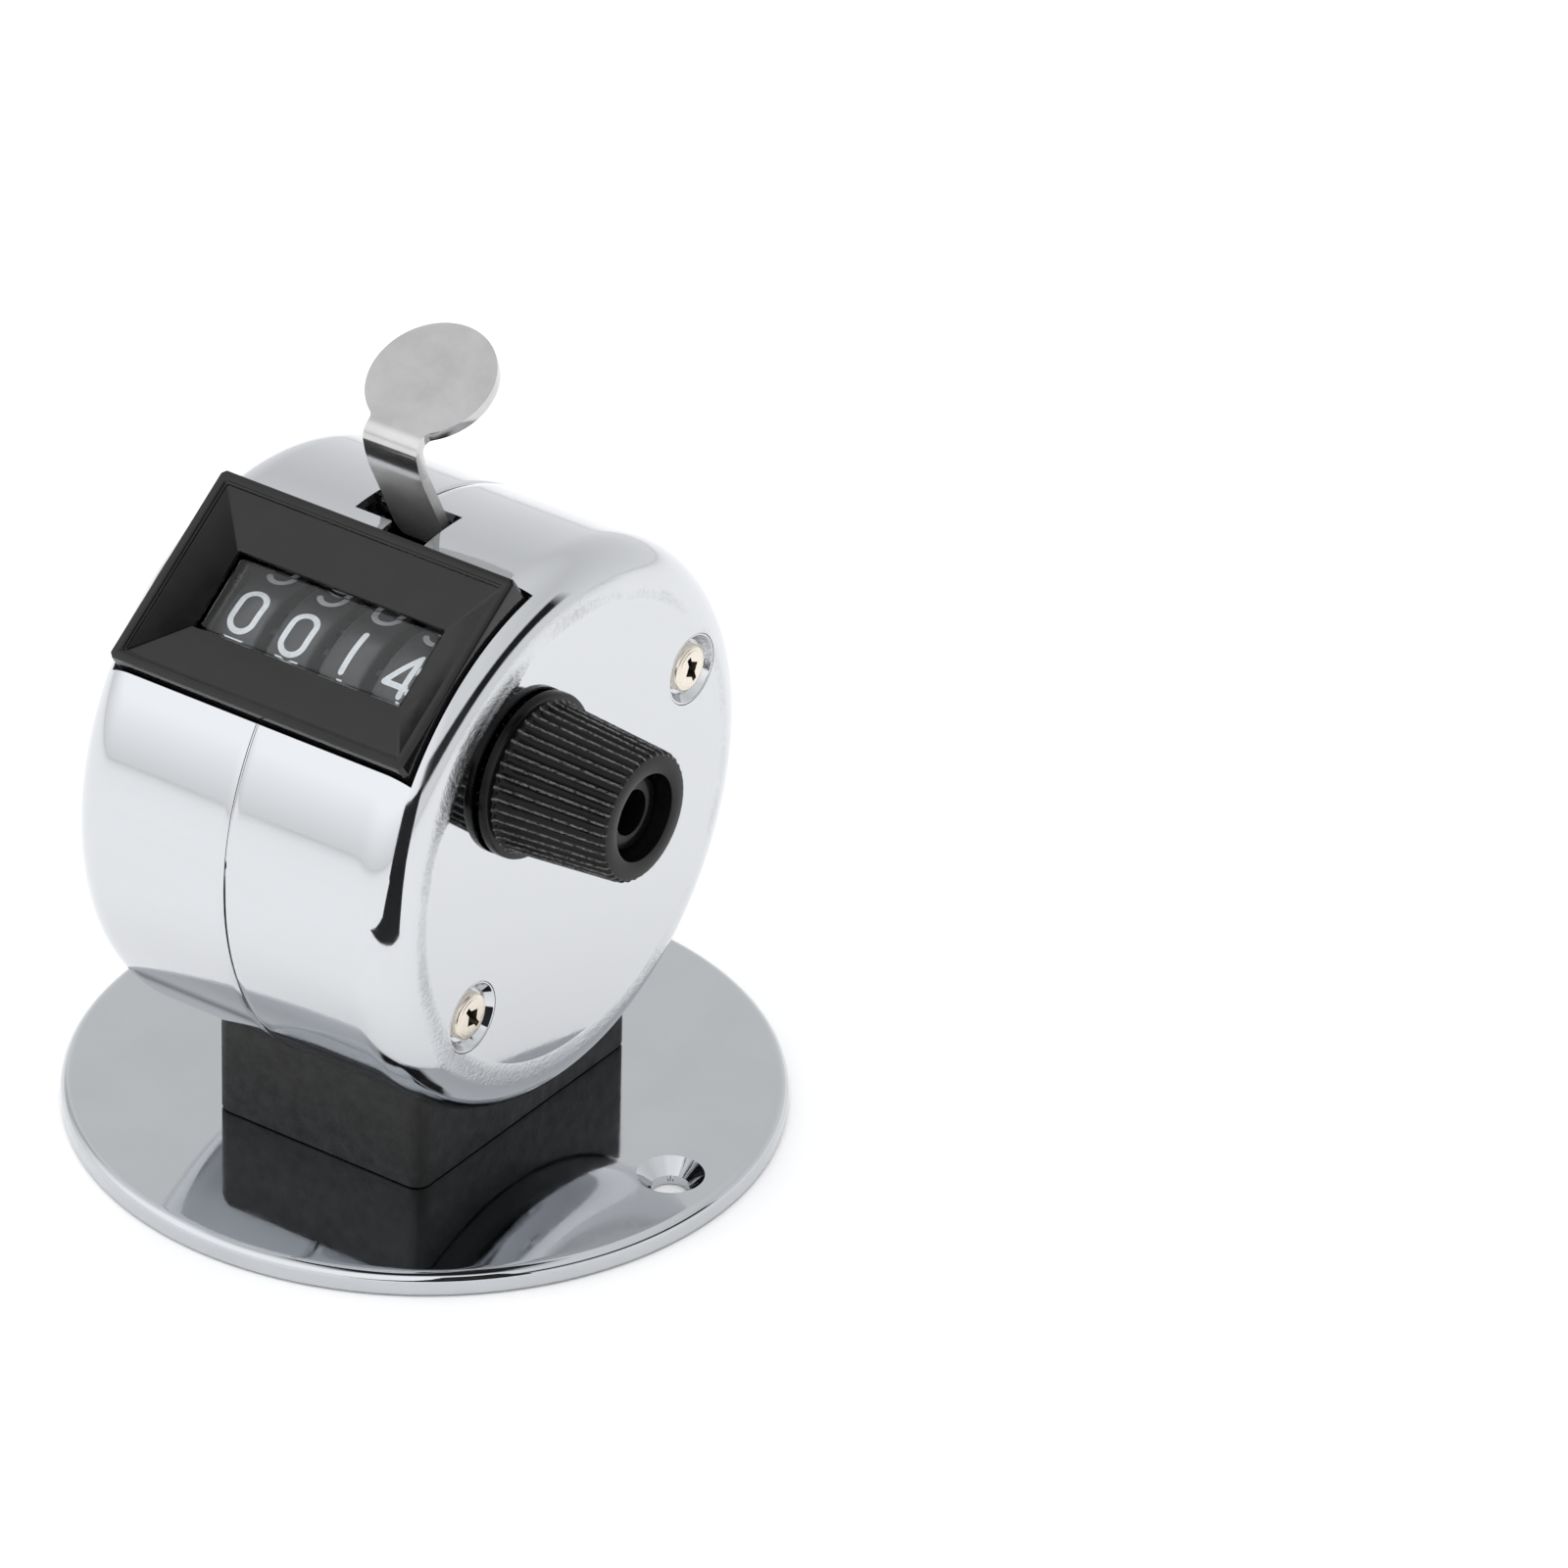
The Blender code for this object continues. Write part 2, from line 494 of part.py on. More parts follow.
def make_lever():
    at = (0, PIVOT_Y, PIVOT_Z)
    local = lambda pairs: [(y - PIVOT_Y, z - PIVOT_Z) for y, z in pairs]
    strip = ribbon(lever_path(), LEVER_T - 0.1)
    lever = slab("thumb_lever", local(strip), -LEVER_W / 2, LEVER_W / 2, CHROME, at)
    pad = cone("lever_pad", PAD_R, PAD_R, -LEVER_T / 2, LEVER_T / 2, None, (0, PAD_Y, PAD_Z),
               (PAD_TILT, 0, 0), sides=40)
    fuse(lever, pad, rod("lever_hub", HUB_R, -3.2, 12.1, PIVOT_Y, PIVOT_Z))
    arm = hull_of([(PIVOT_Y, PIVOT_Z, 1.9), (PAWL_Y, PAWL_Z, 1.5)])
    fuse(lever, slab("lever_arm", arm, 11.45, 12.05))
    fuse(lever, rod("lever_pawl_pin", PAWL_PIN_R, 10.5, 11.7, PAWL_Y, PAWL_Z, sides=16))
    cut(lever, rod("lever_bore", PIVOT_R + RUN, -5, 14, PIVOT_Y, PIVOT_Z))
    rod("lever_pivot_pin", PIVOT_R, -12.0, 13.7, PIVOT_Y, PIVOT_Z, STEEL)
    tip_y, tip_z = AXLE_Y + RATCHET_TIP + 0.45, AXLE_Z + 1.2
    body = [(PAWL_Y - 1.4, PAWL_Z + 0.4), (PAWL_Y, PAWL_Z + 1.4), (PAWL_Y + 1.4, PAWL_Z + 0.3),
            (tip_y + 1.2, tip_z + 1.2), (tip_y + 0.3, tip_z), (tip_y, tip_z + 0.1),
            (PAWL_Y - 0.2, PAWL_Z - 2.2)]
    around = [(y - PAWL_Y, z - PAWL_Z) for y, z in body]
    pawl = slab("drive_pawl", around, 10.58, 11.15, STEEL, (0, PAWL_Y, PAWL_Z))
    cut(pawl, rod("pawl_bore", PAWL_PIN_R + RUN, 10, 12, PAWL_Y, PAWL_Z, sides=16))


def make_spring():
    """Compression coil between the shelf and the underside of the lever."""
    radius, wire, turns, per_turn = 1.5, 0.22, 6.0, 10
    low, high = SHELF_Z + SHELF_T / 2 + GAP + wire, 50.2
    count = int(turns * per_turn)
    curve = bpy.data.curves.new("lever_return_spring", "CURVE")
    curve.dimensions = "3D"
    curve.bevel_depth = wire * MM
    curve.bevel_resolution = 1
    curve.use_fill_caps = True
    line = curve.splines.new("POLY")
    line.points.add(count)
    for i, point in enumerate(line.points):
        a = math.tau * i / per_turn
        rise = low + (high - low) * i / count
        point.co = (radius * math.cos(a) * MM, radius * math.sin(a) * MM, rise * MM, 1)
    obj = bpy.data.objects.new("lever_return_spring", curve)
    obj.location = (0, SHELF_Y * MM, 0)
    curve.materials.append(material("lever_return_spring", *STEEL[1:]))
    PARTS.objects.link(obj)


make_base()
make_case()
make_window()
make_knob()
make_wheels()
make_frame()
make_lever()
make_spring()
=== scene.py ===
"""Hand tally counter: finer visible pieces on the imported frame, materials, light and camera."""

import json
import math

import bmesh
import bpy
from mathutils import Matrix, Vector


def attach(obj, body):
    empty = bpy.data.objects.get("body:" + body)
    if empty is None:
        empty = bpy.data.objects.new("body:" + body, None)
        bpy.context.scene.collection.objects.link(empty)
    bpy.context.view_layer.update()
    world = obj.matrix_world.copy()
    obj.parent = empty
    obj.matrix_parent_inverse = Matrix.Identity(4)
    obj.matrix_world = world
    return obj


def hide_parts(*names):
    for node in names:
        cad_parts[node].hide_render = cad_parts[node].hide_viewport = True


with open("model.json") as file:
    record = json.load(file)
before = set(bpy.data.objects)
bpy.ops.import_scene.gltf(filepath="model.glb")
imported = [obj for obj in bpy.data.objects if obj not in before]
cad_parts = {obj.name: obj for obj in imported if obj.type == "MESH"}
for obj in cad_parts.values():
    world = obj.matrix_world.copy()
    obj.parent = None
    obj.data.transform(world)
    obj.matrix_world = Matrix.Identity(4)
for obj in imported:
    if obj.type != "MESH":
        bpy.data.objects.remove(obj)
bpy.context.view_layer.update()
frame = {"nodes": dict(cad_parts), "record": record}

MM = 0.001
PLATE_R, PLATE_T = 30.0, 2.0
MOUNT_HOLE_X, MOUNT_HOLE_R = 25.0, 1.6
PEDESTAL_SCREW_X = 6.2
DRUM_Y, DRUM_Z, DRUM_R, DRUM_HALF, FILLET, WALL = -2.3, 32.3, 24.4, 16.6, 4.0, 0.8
TILT, WINDOW_UP = math.radians(34.6), 0.8
AXLE_Y, AXLE_Z = -8.85, 41.4
PIVOT_Y, PIVOT_Z = 8.7, 48.8
STUD_Y, STUD_Z = -5.5, 48.6
WHEEL_PITCH = 5.25
FLUTES = 40
CASE_SCREWS = {"upper": (13.4, 40.4, 20), "lower": (-15.9, 21.9, 35)}  # y, z, turn of its cross
WINDOW_HOLE = (-14.9, -9.4, 12), (14.9, 9.4, 30)  # on the facet
LEVER_SLOT = (-3.8, -4.65, 50), (4.1, -0.9, 60)
SLOT_NOTCH = (-1, -7.9, 52), (4.1, -4.5, 60)  # in front of the slot, in the right half only
ALONG_X = Matrix.Rotation(math.pi / 2, 4, "Y")
FACET = (Matrix.Translation(Vector((0, DRUM_Y, DRUM_Z)) * MM) @ Matrix.Rotation(TILT, 4, "X")
         @ Matrix.Translation((0, WINDOW_UP * MM, 0)))


# ---------------------------------------------------------------- materials


def math_node(tree, kind, *values, clamp=False):
    """A math node on numbers and sockets, as its output."""
    node = tree.nodes.new("ShaderNodeMath")
    node.operation = kind
    node.use_clamp = clamp
    for k, value in enumerate(values):
        if isinstance(value, (int, float)):
            node.inputs[k].default_value = value
        else:
            tree.links.new(value, node.inputs[k])
    return node.outputs[0]


class Look:
    """A Principled material built from nodes on object coordinates."""

    def __init__(self, name, colour, rough, metal=0.0, **extra):
        self.mat = bpy.data.materials.new(name)
        self.mat.use_nodes = True
        self.tree = self.mat.node_tree
        self.shader = self.tree.nodes["Principled BSDF"]
        self.shader.inputs["Base Color"].default_value = (*colour, 1)
        self.shader.inputs["Roughness"].default_value = rough
        self.shader.inputs["Metallic"].default_value = metal
        for key, value in extra.items():
            self.shader.inputs[key.replace("_", " ")].default_value = value
        self.coords = self.tree.nodes.new("ShaderNodeTexCoord").outputs["Object"]
        self.bump = None

    def node(self, kind):
        return self.tree.nodes.new(kind)

    def link(self, a, b):
        self.tree.links.new(a, b)

    def noise(self, scale, detail=2.0, rough=0.5, stretch=(1, 1, 1)):
        spread = self.node("ShaderNodeMapping")
        spread.inputs["Scale"].default_value = stretch
        self.link(self.coords, spread.inputs["Vector"])
        node = self.node("ShaderNodeTexNoise")
        node.inputs["Scale"].default_value = scale
        node.inputs["Detail"].default_value = detail
        node.inputs["Roughness"].default_value = rough
        self.link(spread.outputs["Vector"], node.inputs["Vector"])
        return node.outputs["Fac"]

    def axes(self):
        split = self.node("ShaderNodeSeparateXYZ")
        self.link(self.coords, split.inputs["Vector"])
        return split.outputs

    def calc(self, kind, *values):
        return math_node(self.tree, kind, *values)

    def ramp(self, source, stops):
        node = self.node("ShaderNodeValToRGB")
        ramp = node.color_ramp
        while len(ramp.elements) < len(stops):
            ramp.elements.new(0.5)
        for element, (place, value) in zip(ramp.elements, stops):
            element.position = place
            rgb = value if isinstance(value, tuple) else (value,) * 3
            element.color = (*rgb, 1)
        self.link(source, node.inputs["Fac"])
        return node.outputs["Color"]

    def colour(self, source, stops):
        self.link(self.ramp(source, stops), self.shader.inputs["Base Color"])
        return self

    def rough(self, source, stops):
        self.link(self.ramp(source, stops), self.shader.inputs["Roughness"])
        return self

    def raise_by(self, source, distance, strength=1.0):
        """Adds a bump of that many metres on top of the ones before it."""
        node = self.node("ShaderNodeBump")
        node.inputs["Distance"].default_value = distance
        node.inputs["Strength"].default_value = strength
        self.link(source, node.inputs["Height"])
        if self.bump:
            self.link(self.bump, node.inputs["Normal"])
        self.bump = node.outputs["Normal"]
        self.link(self.bump, self.shader.inputs["Normal"])
        return self


def about_x(look, centre_y, centre_z):
    """y, z and distance in metres from the line along X through a point given in mm."""
    axes = look.axes()
    y = look.calc("SUBTRACT", axes["Y"], centre_y * MM)
    z = look.calc("SUBTRACT", axes["Z"], centre_z * MM)
    squares = look.calc("ADD", look.calc("MULTIPLY", y, y), look.calc("MULTIPLY", z, z))
    return y, z, look.calc("SQRT", squares)


def rim_mask(look):
    """Patchy ring where the case's end meets its rounded edge: up to 1 there, else 0."""
    span = 30 * MM
    out = about_x(look, DRUM_Y, DRUM_Z)[2]
    ring_only = look.ramp(look.calc("MULTIPLY", out, 1 / span),
                          [(0.645, 0.0), (0.67, 1.0), (0.69, 1.0), (0.73, 0.0)])
    patchy = look.ramp(look.noise(110, 2, 0.6), [(0.3, 0.45), (0.6, 1.0)])
    return look.calc("MULTIPLY", look.calc("MULTIPLY", ring_only, patchy),
                     look.noise(2300, 4, 0.75))


def flute_mask(look):
    """Painted highlight along the crests of the knob's flutes, broken up by a fine noise: up to 1
    there, else 0.
    """
    span = 10 * MM
    y, z, out = about_x(look, AXLE_Y, AXLE_Z)
    turn = look.calc("MULTIPLY", look.calc("ARCTAN2", z, y), FLUTES)
    outside = look.ramp(look.calc("MULTIPLY", out, 1 / span),
                        [(0.5, 0.0), (0.53, 1.0), (0.645, 1.0), (0.655, 0.0)])
    crest = look.ramp(look.calc("COSINE", turn), [(0.55, 0.0), (0.95, 1.0)])
    highlight_breakup = look.ramp(look.noise(5200, 4, 0.75, (0.45, 1, 1)), [(0.36, 0.0), (0.6, 1.0)])
    return look.calc("MULTIPLY", look.calc("MULTIPLY", crest, outside), highlight_breakup)


def chrome(name, colour, wave, swirl=(1, 1, 1), rim=False):
    """Polished plate: long waves of that height in metres, a fine grain, and pits at the rim."""
    look = Look(name, colour, 0.05, 1.0)
    look.rough(look.noise(700, 3, 0.6, swirl), [(0.35, 0.04), (0.75, 0.09)])
    look.raise_by(look.noise(90, 1.0, 0.4), wave)
    look.raise_by(look.noise(2600, 2.0, 0.6, swirl), 0.0000011)
    if rim:
        pits = rim_mask(look)
        look.colour(pits, [(0.3, colour), (0.66, tuple(c * 0.74 for c in colour))])
        look.raise_by(pits, 0.00013)
    else:
        tint = tuple(c * 0.96 for c in colour)
        look.colour(look.noise(160, 2), [(0.3, tint), (0.7, colour)])
    return look.mat


def plastic(name, tone, rough, grain_scale, grain, level=0.5):
    """Black moulding: its tone, (low, high) roughness and a fine grain."""
    look = Look(name, (tone,) * 3, rough[0], 0.0, Specular_IOR_Level=level)
    look.rough(look.noise(750, 4, 0.6), [(0.3, rough[0]), (0.7, rough[1])])
    look.colour(look.noise(420, 3), [(0.3, tone * 0.8), (0.7, tone * 1.2)])
    look.raise_by(look.noise(grain_scale, 4, 0.65), grain)
    return look.mat


def metal(name, colour, rough, grain_scale, grain, stretch=(1, 1, 1)):
    look = Look(name, colour, rough[0], 1.0)
    look.rough(look.noise(900, 3, 0.6), [(0.3, rough[0]), (0.7, rough[1])])
    tint = tuple(c * 0.92 for c in colour)
    look.colour(look.noise(450, 3), [(0.3, tint), (0.7, colour)])
    look.raise_by(look.noise(grain_scale, 3, 0.6, stretch), grain)
    return look.mat


def make_looks():
    looks = {
        "plate": chrome("chrome_plate_look", (0.575, 0.59, 0.61), 0.00001),
        "case": chrome("chrome_case_look", (0.605, 0.617, 0.637), 0.00002, (0.15, 1, 1), rim=True),
        "nickel": metal("nickel_look", (0.76, 0.70, 0.61), (0.18, 0.34), 1800, 0.000004),
        # Dark metal for the screws' cross recesses: painted shade inside the recess.
        "recess": metal("screw_recess_painted_shade_look", (0.10, 0.08, 0.06), (0.35, 0.6), 1800, 0.000004),
        "steel": metal("steel_look", (0.60, 0.60, 0.61), (0.22, 0.42), 2500, 0.000003, (0.1, 1, 1)),
        "brass": metal("brass_look", (0.76, 0.59, 0.30), (0.2, 0.4), 1500, 0.000002),
        "bezel": plastic("bezel_look", 0.006, (0.07, 0.15), 2600, 0.0000012, 0.38),
        "block": plastic("grained_block_look", 0.01, (0.42, 0.62), 1900, 0.00005, 0.4),
    }
    knob = Look("knob_look", (0.003,) * 3, 0.2, 0.0, Specular_IOR_Level=0.17)
    knob.rough(knob.noise(750, 4, 0.6), [(0.3, 0.16), (0.7, 0.3)])
    # Crests painted lighter than the black body: a painted highlight along the flutes.
    knob.colour(flute_mask(knob), [(0.1, (0.003,) * 3), (0.9, (0.13,) * 3)])
    knob.raise_by(knob.noise(2400, 4, 0.65), 0.000006)
    looks["knob"] = knob.mat
    lever = Look("satin_chrome_look", (0.56, 0.555, 0.55), 0.2, 1.0)
    stem_top, bend, matt, bright = 60.3 * MM, 61.3 * MM, 0.55, 0.1
    satin = lever.node("ShaderNodeMapRange")
    for k, value in enumerate((stem_top, bend, matt, bright)):
        satin.inputs[k + 1].default_value = value
    lever.link(lever.axes()["Z"], satin.inputs[0])
    brushed = lever.noise(500, 4, 0.7, (1, 0.12, 1))
    lever.link(lever.calc("MULTIPLY_ADD", brushed, 0.12, satin.outputs[0]),
               lever.shader.inputs["Roughness"])
    lever.colour(lever.noise(260, 3, 0.6), [(0.3, (0.52, 0.515, 0.51)), (0.7, (0.6, 0.595, 0.59))])
    lever.raise_by(lever.noise(2200, 4, 0.7, (1, 0.3, 0.3)), 0.0000022)
    lever.raise_by(lever.noise(150, 2, 0.5), 0.000006)
    looks["lever"] = lever.mat
    wheel = Look("wheel_look", (0.04, 0.04, 0.042), 0.42, 0.0)
    wheel.rough(wheel.noise(800, 3, 0.6), [(0.3, 0.36), (0.7, 0.5)])
    wheel.colour(wheel.noise(300, 3), [(0.3, (0.034, 0.034, 0.035)), (0.7, (0.046, 0.046, 0.047))])
    looks["wheel"] = wheel.mat
    figure = Look("figure_look", (0.85, 0.87, 0.88), 0.5, 0.0)
    figure.colour(figure.noise(2500, 4, 0.7), [(0.3, (0.74, 0.76, 0.78)), (0.6, (0.88, 0.9, 0.91))])
    looks["figure"] = figure.mat
    lens = Look("lens_look", (0.95, 0.97, 0.98), 0.03, 0.0, Transmission_Weight=1.0, IOR=1.36)
    lens.rough(lens.noise(600, 3, 0.6), [(0.4, 0.02), (0.8, 0.05)])
    looks["lens"] = lens.mat
    return looks


LOOKS = make_looks()


# ---------------------------------------------------------------- mesh helpers


def finish_mesh(name, bm, look, body, nodes=(), place=None, sharp=32):
    """Turns the bmesh into a piece that rides on a body and stands for CAD nodes."""
    bmesh.ops.recalc_face_normals(bm, faces=bm.faces)
    mesh = bpy.data.meshes.new(name)
    bm.to_mesh(mesh)
    bm.free()
    if place is not None:
        mesh.transform(place)
    mesh.materials.append(LOOKS[look])
    obj = bpy.data.objects.new(name, mesh)
    bpy.context.scene.collection.objects.link(obj)
    shade(obj, sharp)
    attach(obj, body)
    if nodes:
        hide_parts(*nodes)
    return obj


def shade(obj, sharp):
    obj.data.shade_smooth()
    obj.data.set_sharp_from_angle(angle=math.radians(sharp))


def bake(obj, sharp):
    """Applies the modifiers, then sets the smoothing again."""
    bpy.context.view_layer.update()
    graph = bpy.context.evaluated_depsgraph_get()
    mesh = bpy.data.meshes.new_from_object(obj.evaluated_get(graph))
    obj.modifiers.clear()
    obj.data = mesh
    shade(obj, sharp)
    return obj


def loop_rows(bm, loops, wrap=False):
    """Skins closed loops of points in mm, and joins the last to the first with wrap."""
    rows = [[bm.verts.new(Vector(p) * MM) for p in loop] for loop in loops]
    pairs = list(zip(rows, rows[1:]))
    if wrap:
        pairs.append((rows[-1], rows[0]))
    count = len(rows[0])
    for row, after in pairs:
        for i in range(count):
            j = (i + 1) % count
            bm.faces.new((row[i], row[j], after[j], after[i]))
    return rows


def ring(x, count, radius):
    """A loop about the X axis; radius is a number or a function of the angle."""
    points = []
    for i in range(count):
        a = math.tau * i / count
        r = radius(a) if callable(radius) else radius
        points.append((x, r * math.cos(a), r * math.sin(a)))
    return points


def arc(cx, cy, radius, start, end, count):
    """Points (x, y) along an arc; start and end in degrees."""
    angles = [math.radians(start + (end - start) * i / count) for i in range(count + 1)]
    return [(cx + radius * math.cos(a), cy + radius * math.sin(a)) for a in angles]


def lathe(name, profile, look, body, nodes=(), place=None, count=128, sharp=32,
          wrap=False):
    """A turned piece about +Z from a profile of (radius, height) in mm. Radius 0 closes it."""
    bm = bmesh.new()
    rows = []
    for r, h in profile:
        if r == 0:
            rows.append([bm.verts.new((0, 0, h * MM))])
        else:
            turns = [math.tau * i / count for i in range(count)]
            rows.append([bm.verts.new((r * MM * math.cos(a), r * MM * math.sin(a), h * MM))
                         for a in turns])
    pairs = list(zip(rows, rows[1:])) + ([(rows[-1], rows[0])] if wrap else [])
    for a, b in pairs:
        for i in range(count):
            j = (i + 1) % count
            face = [a[i % len(a)], a[j % len(a)], b[j % len(b)], b[i % len(b)]]
            bm.faces.new(list(dict.fromkeys(face)))
    return finish_mesh(name, bm, look, body, nodes, place, sharp)


def rounded_rect(half_x, half_y, radius, z, corner=6):
    points = []
    for quarter in range(4):
        cx = (half_x - radius) * (1 if quarter in (0, 3) else -1)
        cy = (half_y - radius) * (1 if quarter < 2 else -1)
        for i in range(corner + 1):
            a = math.pi / 2 * (quarter + i / corner)
            points.append((cx + radius * math.cos(a), cy + radius * math.sin(a), z))
    return points


def cut_away(obj, cutters, sharp):
    """Cuts every cutter out of a piece and removes it."""
    for cutter in cutters:
        modifier = obj.modifiers.new("cut", "BOOLEAN")
        modifier.operation = "DIFFERENCE"
        modifier.solver = "EXACT"
        modifier.object = cutter
    bake(obj, sharp)
    for cutter in cutters:
        bpy.data.objects.remove(cutter, do_unlink=True)


def cutter_of(bm):
    bmesh.ops.recalc_face_normals(bm, faces=bm.faces)
    mesh = bpy.data.meshes.new("cutter")
    bm.to_mesh(mesh)
    bm.free()
    obj = bpy.data.objects.new("cutter", mesh)
    bpy.context.scene.collection.objects.link(obj)
    return obj


def cone_cutter(x, y, r0, r1, low, high, sides=96):
    bm = bmesh.new()
    bmesh.ops.create_cone(bm, cap_ends=True, segments=sides, radius1=r0 * MM, radius2=r1 * MM,
                          depth=(high - low) * MM)
    bmesh.ops.translate(bm, vec=(x * MM, y * MM, (low + high) / 2 * MM), verts=bm.verts)
    return cutter_of(bm)


# ---------------------------------------------------------------- base


def make_plate():
    edge, foot = 0.85, 0.3
    profile = [(0, PLATE_T), (PLATE_R - edge - 0.35, PLATE_T)]
    profile += arc(PLATE_R - edge, PLATE_T - edge, edge, 90, 0, 10) + [(PLATE_R, foot)]
    profile += arc(PLATE_R - foot, foot, foot, 0, -90, 4)[1:] + [(PLATE_R - 0.8, 0), (0, 0)]
    plate = lathe("base_plate_look", profile, "plate", "case", ["base_plate"],
                  count=256)
    cutters = []
    for side in (-1, 1):
        hole, screw = side * MOUNT_HOLE_X, side * PEDESTAL_SCREW_X
        cutters += [cone_cutter(hole, 0, MOUNT_HOLE_R, MOUNT_HOLE_R, -1, 3),
                    cone_cutter(hole, 0, 1.44, 3.3, PLATE_T - 1.35, PLATE_T + 0.5),
                    cone_cutter(screw, DRUM_Y, 3.65, 1.7, -0.3, 1.65),
                    cone_cutter(screw, DRUM_Y, 1.8, 1.8, -1, 3)]
    cut_away(plate, cutters, 25)


def make_block():
    """Pedestal: upright rounded sides and a saddle that follows the drum."""
    half_x, half_y, centre, corner, step = 10.5, 14.3, -0.3, 1.3, 0.6
    fit = DRUM_R + 0.06
    outline = [(x, y) for x, y, _ in rounded_rect(half_x, half_y, corner, 0, 8)]
    steps = []
    for i, (x, y) in enumerate(outline):
        nx, ny = outline[(i + 1) % len(outline)]
        pieces = max(1, round(math.hypot(nx - x, ny - y) / step))
        steps += [(x + (nx - x) * k / pieces, y + (ny - y) * k / pieces) for k in range(pieces)]

    def saddle(y, down):
        return DRUM_Z - math.sqrt((fit + down) ** 2 - (y - DRUM_Y) ** 2)

    def row(d, height):
        """The outline drawn in by d, at a height that may follow y."""
        points = [(x * (half_x - d) / half_x, y * (half_y - d) / half_y + centre) for x, y in steps]
        return [(x, y, height(y)) for x, y in points]

    bm = bmesh.new()
    loops = [row(d, lambda y, z=z: z) for d, z in ((0.25, 2.02), (0.08, 2.1), (0.0, 2.3))]
    loops += [row(d, lambda y, down=down: saddle(y, down))
              for d, down in ((0.0, 0.35), (0.05, 0.16), (0.16, 0.05), (0.35, 0.0))]
    rows = loop_rows(bm, loops)
    bm.faces.new(rows[0])
    left = sorted([v for v in rows[-1] if v.co.x < 0], key=lambda v: v.co.y)
    right = sorted([v for v in rows[-1] if v.co.x > 0], key=lambda v: v.co.y)
    for i in range(len(left) - 1):
        bm.faces.new((left[i], right[i], right[i + 1], left[i + 1]))
    finish_mesh("pedestal_block_look", bm, "block", "case", ["pedestal_block"],
                sharp=40)


# ---------------------------------------------------------------- case


def shell_rows(side):
    """Half case outline from the seam round the edge to the middle of the end, as (x, r)."""
    knee, corner = DRUM_HALF - FILLET, DRUM_R - FILLET
    rows = [(0.09, DRUM_R - 0.12), (0.12, DRUM_R - 0.04), (0.2, DRUM_R)]
    rows += [(0.2 + (knee - 0.2) * i / 24, DRUM_R) for i in range(1, 25)]
    rows += [(knee + FILLET * math.sin(a), corner + FILLET * math.cos(a))
             for a in (math.pi / 2 * i / 18 for i in range(1, 19))]
    rows += [(DRUM_HALF, corner * (1 - i / 8)) for i in range(1, 8)]
    return rows


def make_shell(side):
    name = "right_shell" if side > 0 else "left_shell"
    count = 256
    bm = bmesh.new()
    rows = []
    for x, r in shell_rows(side):
        row = []
        for i in range(count):
            a = math.tau * i / count
            y, z = DRUM_Y + r * math.cos(a), DRUM_Z + r * math.sin(a)
            row.append(bm.verts.new(Vector((side * x, y, z)) * MM))
        rows.append(row)
    for a, b in zip(rows, rows[1:]):
        for i in range(count):
            j = (i + 1) % count
            bm.faces.new((a[i], a[j], b[j], b[i]))
    bm.faces.new(rows[-1])
    clear_box(bm, FACET, *WINDOW_HOLE)
    clear_box(bm, Matrix.Identity(4), *LEVER_SLOT)
    if side > 0:
        clear_box(bm, Matrix.Identity(4), *SLOT_NOTCH)
    obj = finish_mesh(f"{name}_look", bm, "case", "case", [name], sharp=180)
    thick = obj.modifiers.new("wall", "SOLIDIFY")
    thick.thickness = WALL * MM
    thick.offset = -1
    holes = []
    for y, z, _ in CASE_SCREWS.values() if side > 0 else ():
        hole = cone_cutter(0, 0, 3.1, 3.1, DRUM_HALF - 3, DRUM_HALF + 1)
        hole.matrix_world = Matrix.Translation(Vector((0, y, z)) * MM) @ ALONG_X
        holes.append(hole)
    cut_away(obj, holes, 40)


def clear_box(bm, place, low, high):
    """Removes the part of a surface that is inside a box, with clean straight edges."""
    inverse = place.inverted()
    near = 6.0

    def inside(point, pad):
        p = (inverse @ point) / MM
        return all(low[i] - pad < p[i] < high[i] + pad for i in range(3))

    for axis in (0, 1):
        for value in (low[axis], high[axis]):
            faces = [f for f in bm.faces if inside(f.calc_center_median(), near)]
            geom = set(faces)
            for f in faces:
                geom.update(f.edges)
                geom.update(f.verts)
            normal = Vector((0, 0, 0))
            normal[axis] = 1
            at = Vector((0, 0, 0))
            at[axis] = value
            bmesh.ops.bisect_plane(
                bm, geom=list(geom), dist=1e-8, plane_co=place @ (at * MM),
                plane_no=place.to_3x3() @ normal)
    gone = [f for f in bm.faces if inside(f.calc_center_median(), 0)]
    bmesh.ops.delete(bm, geom=gone, context="FACES")


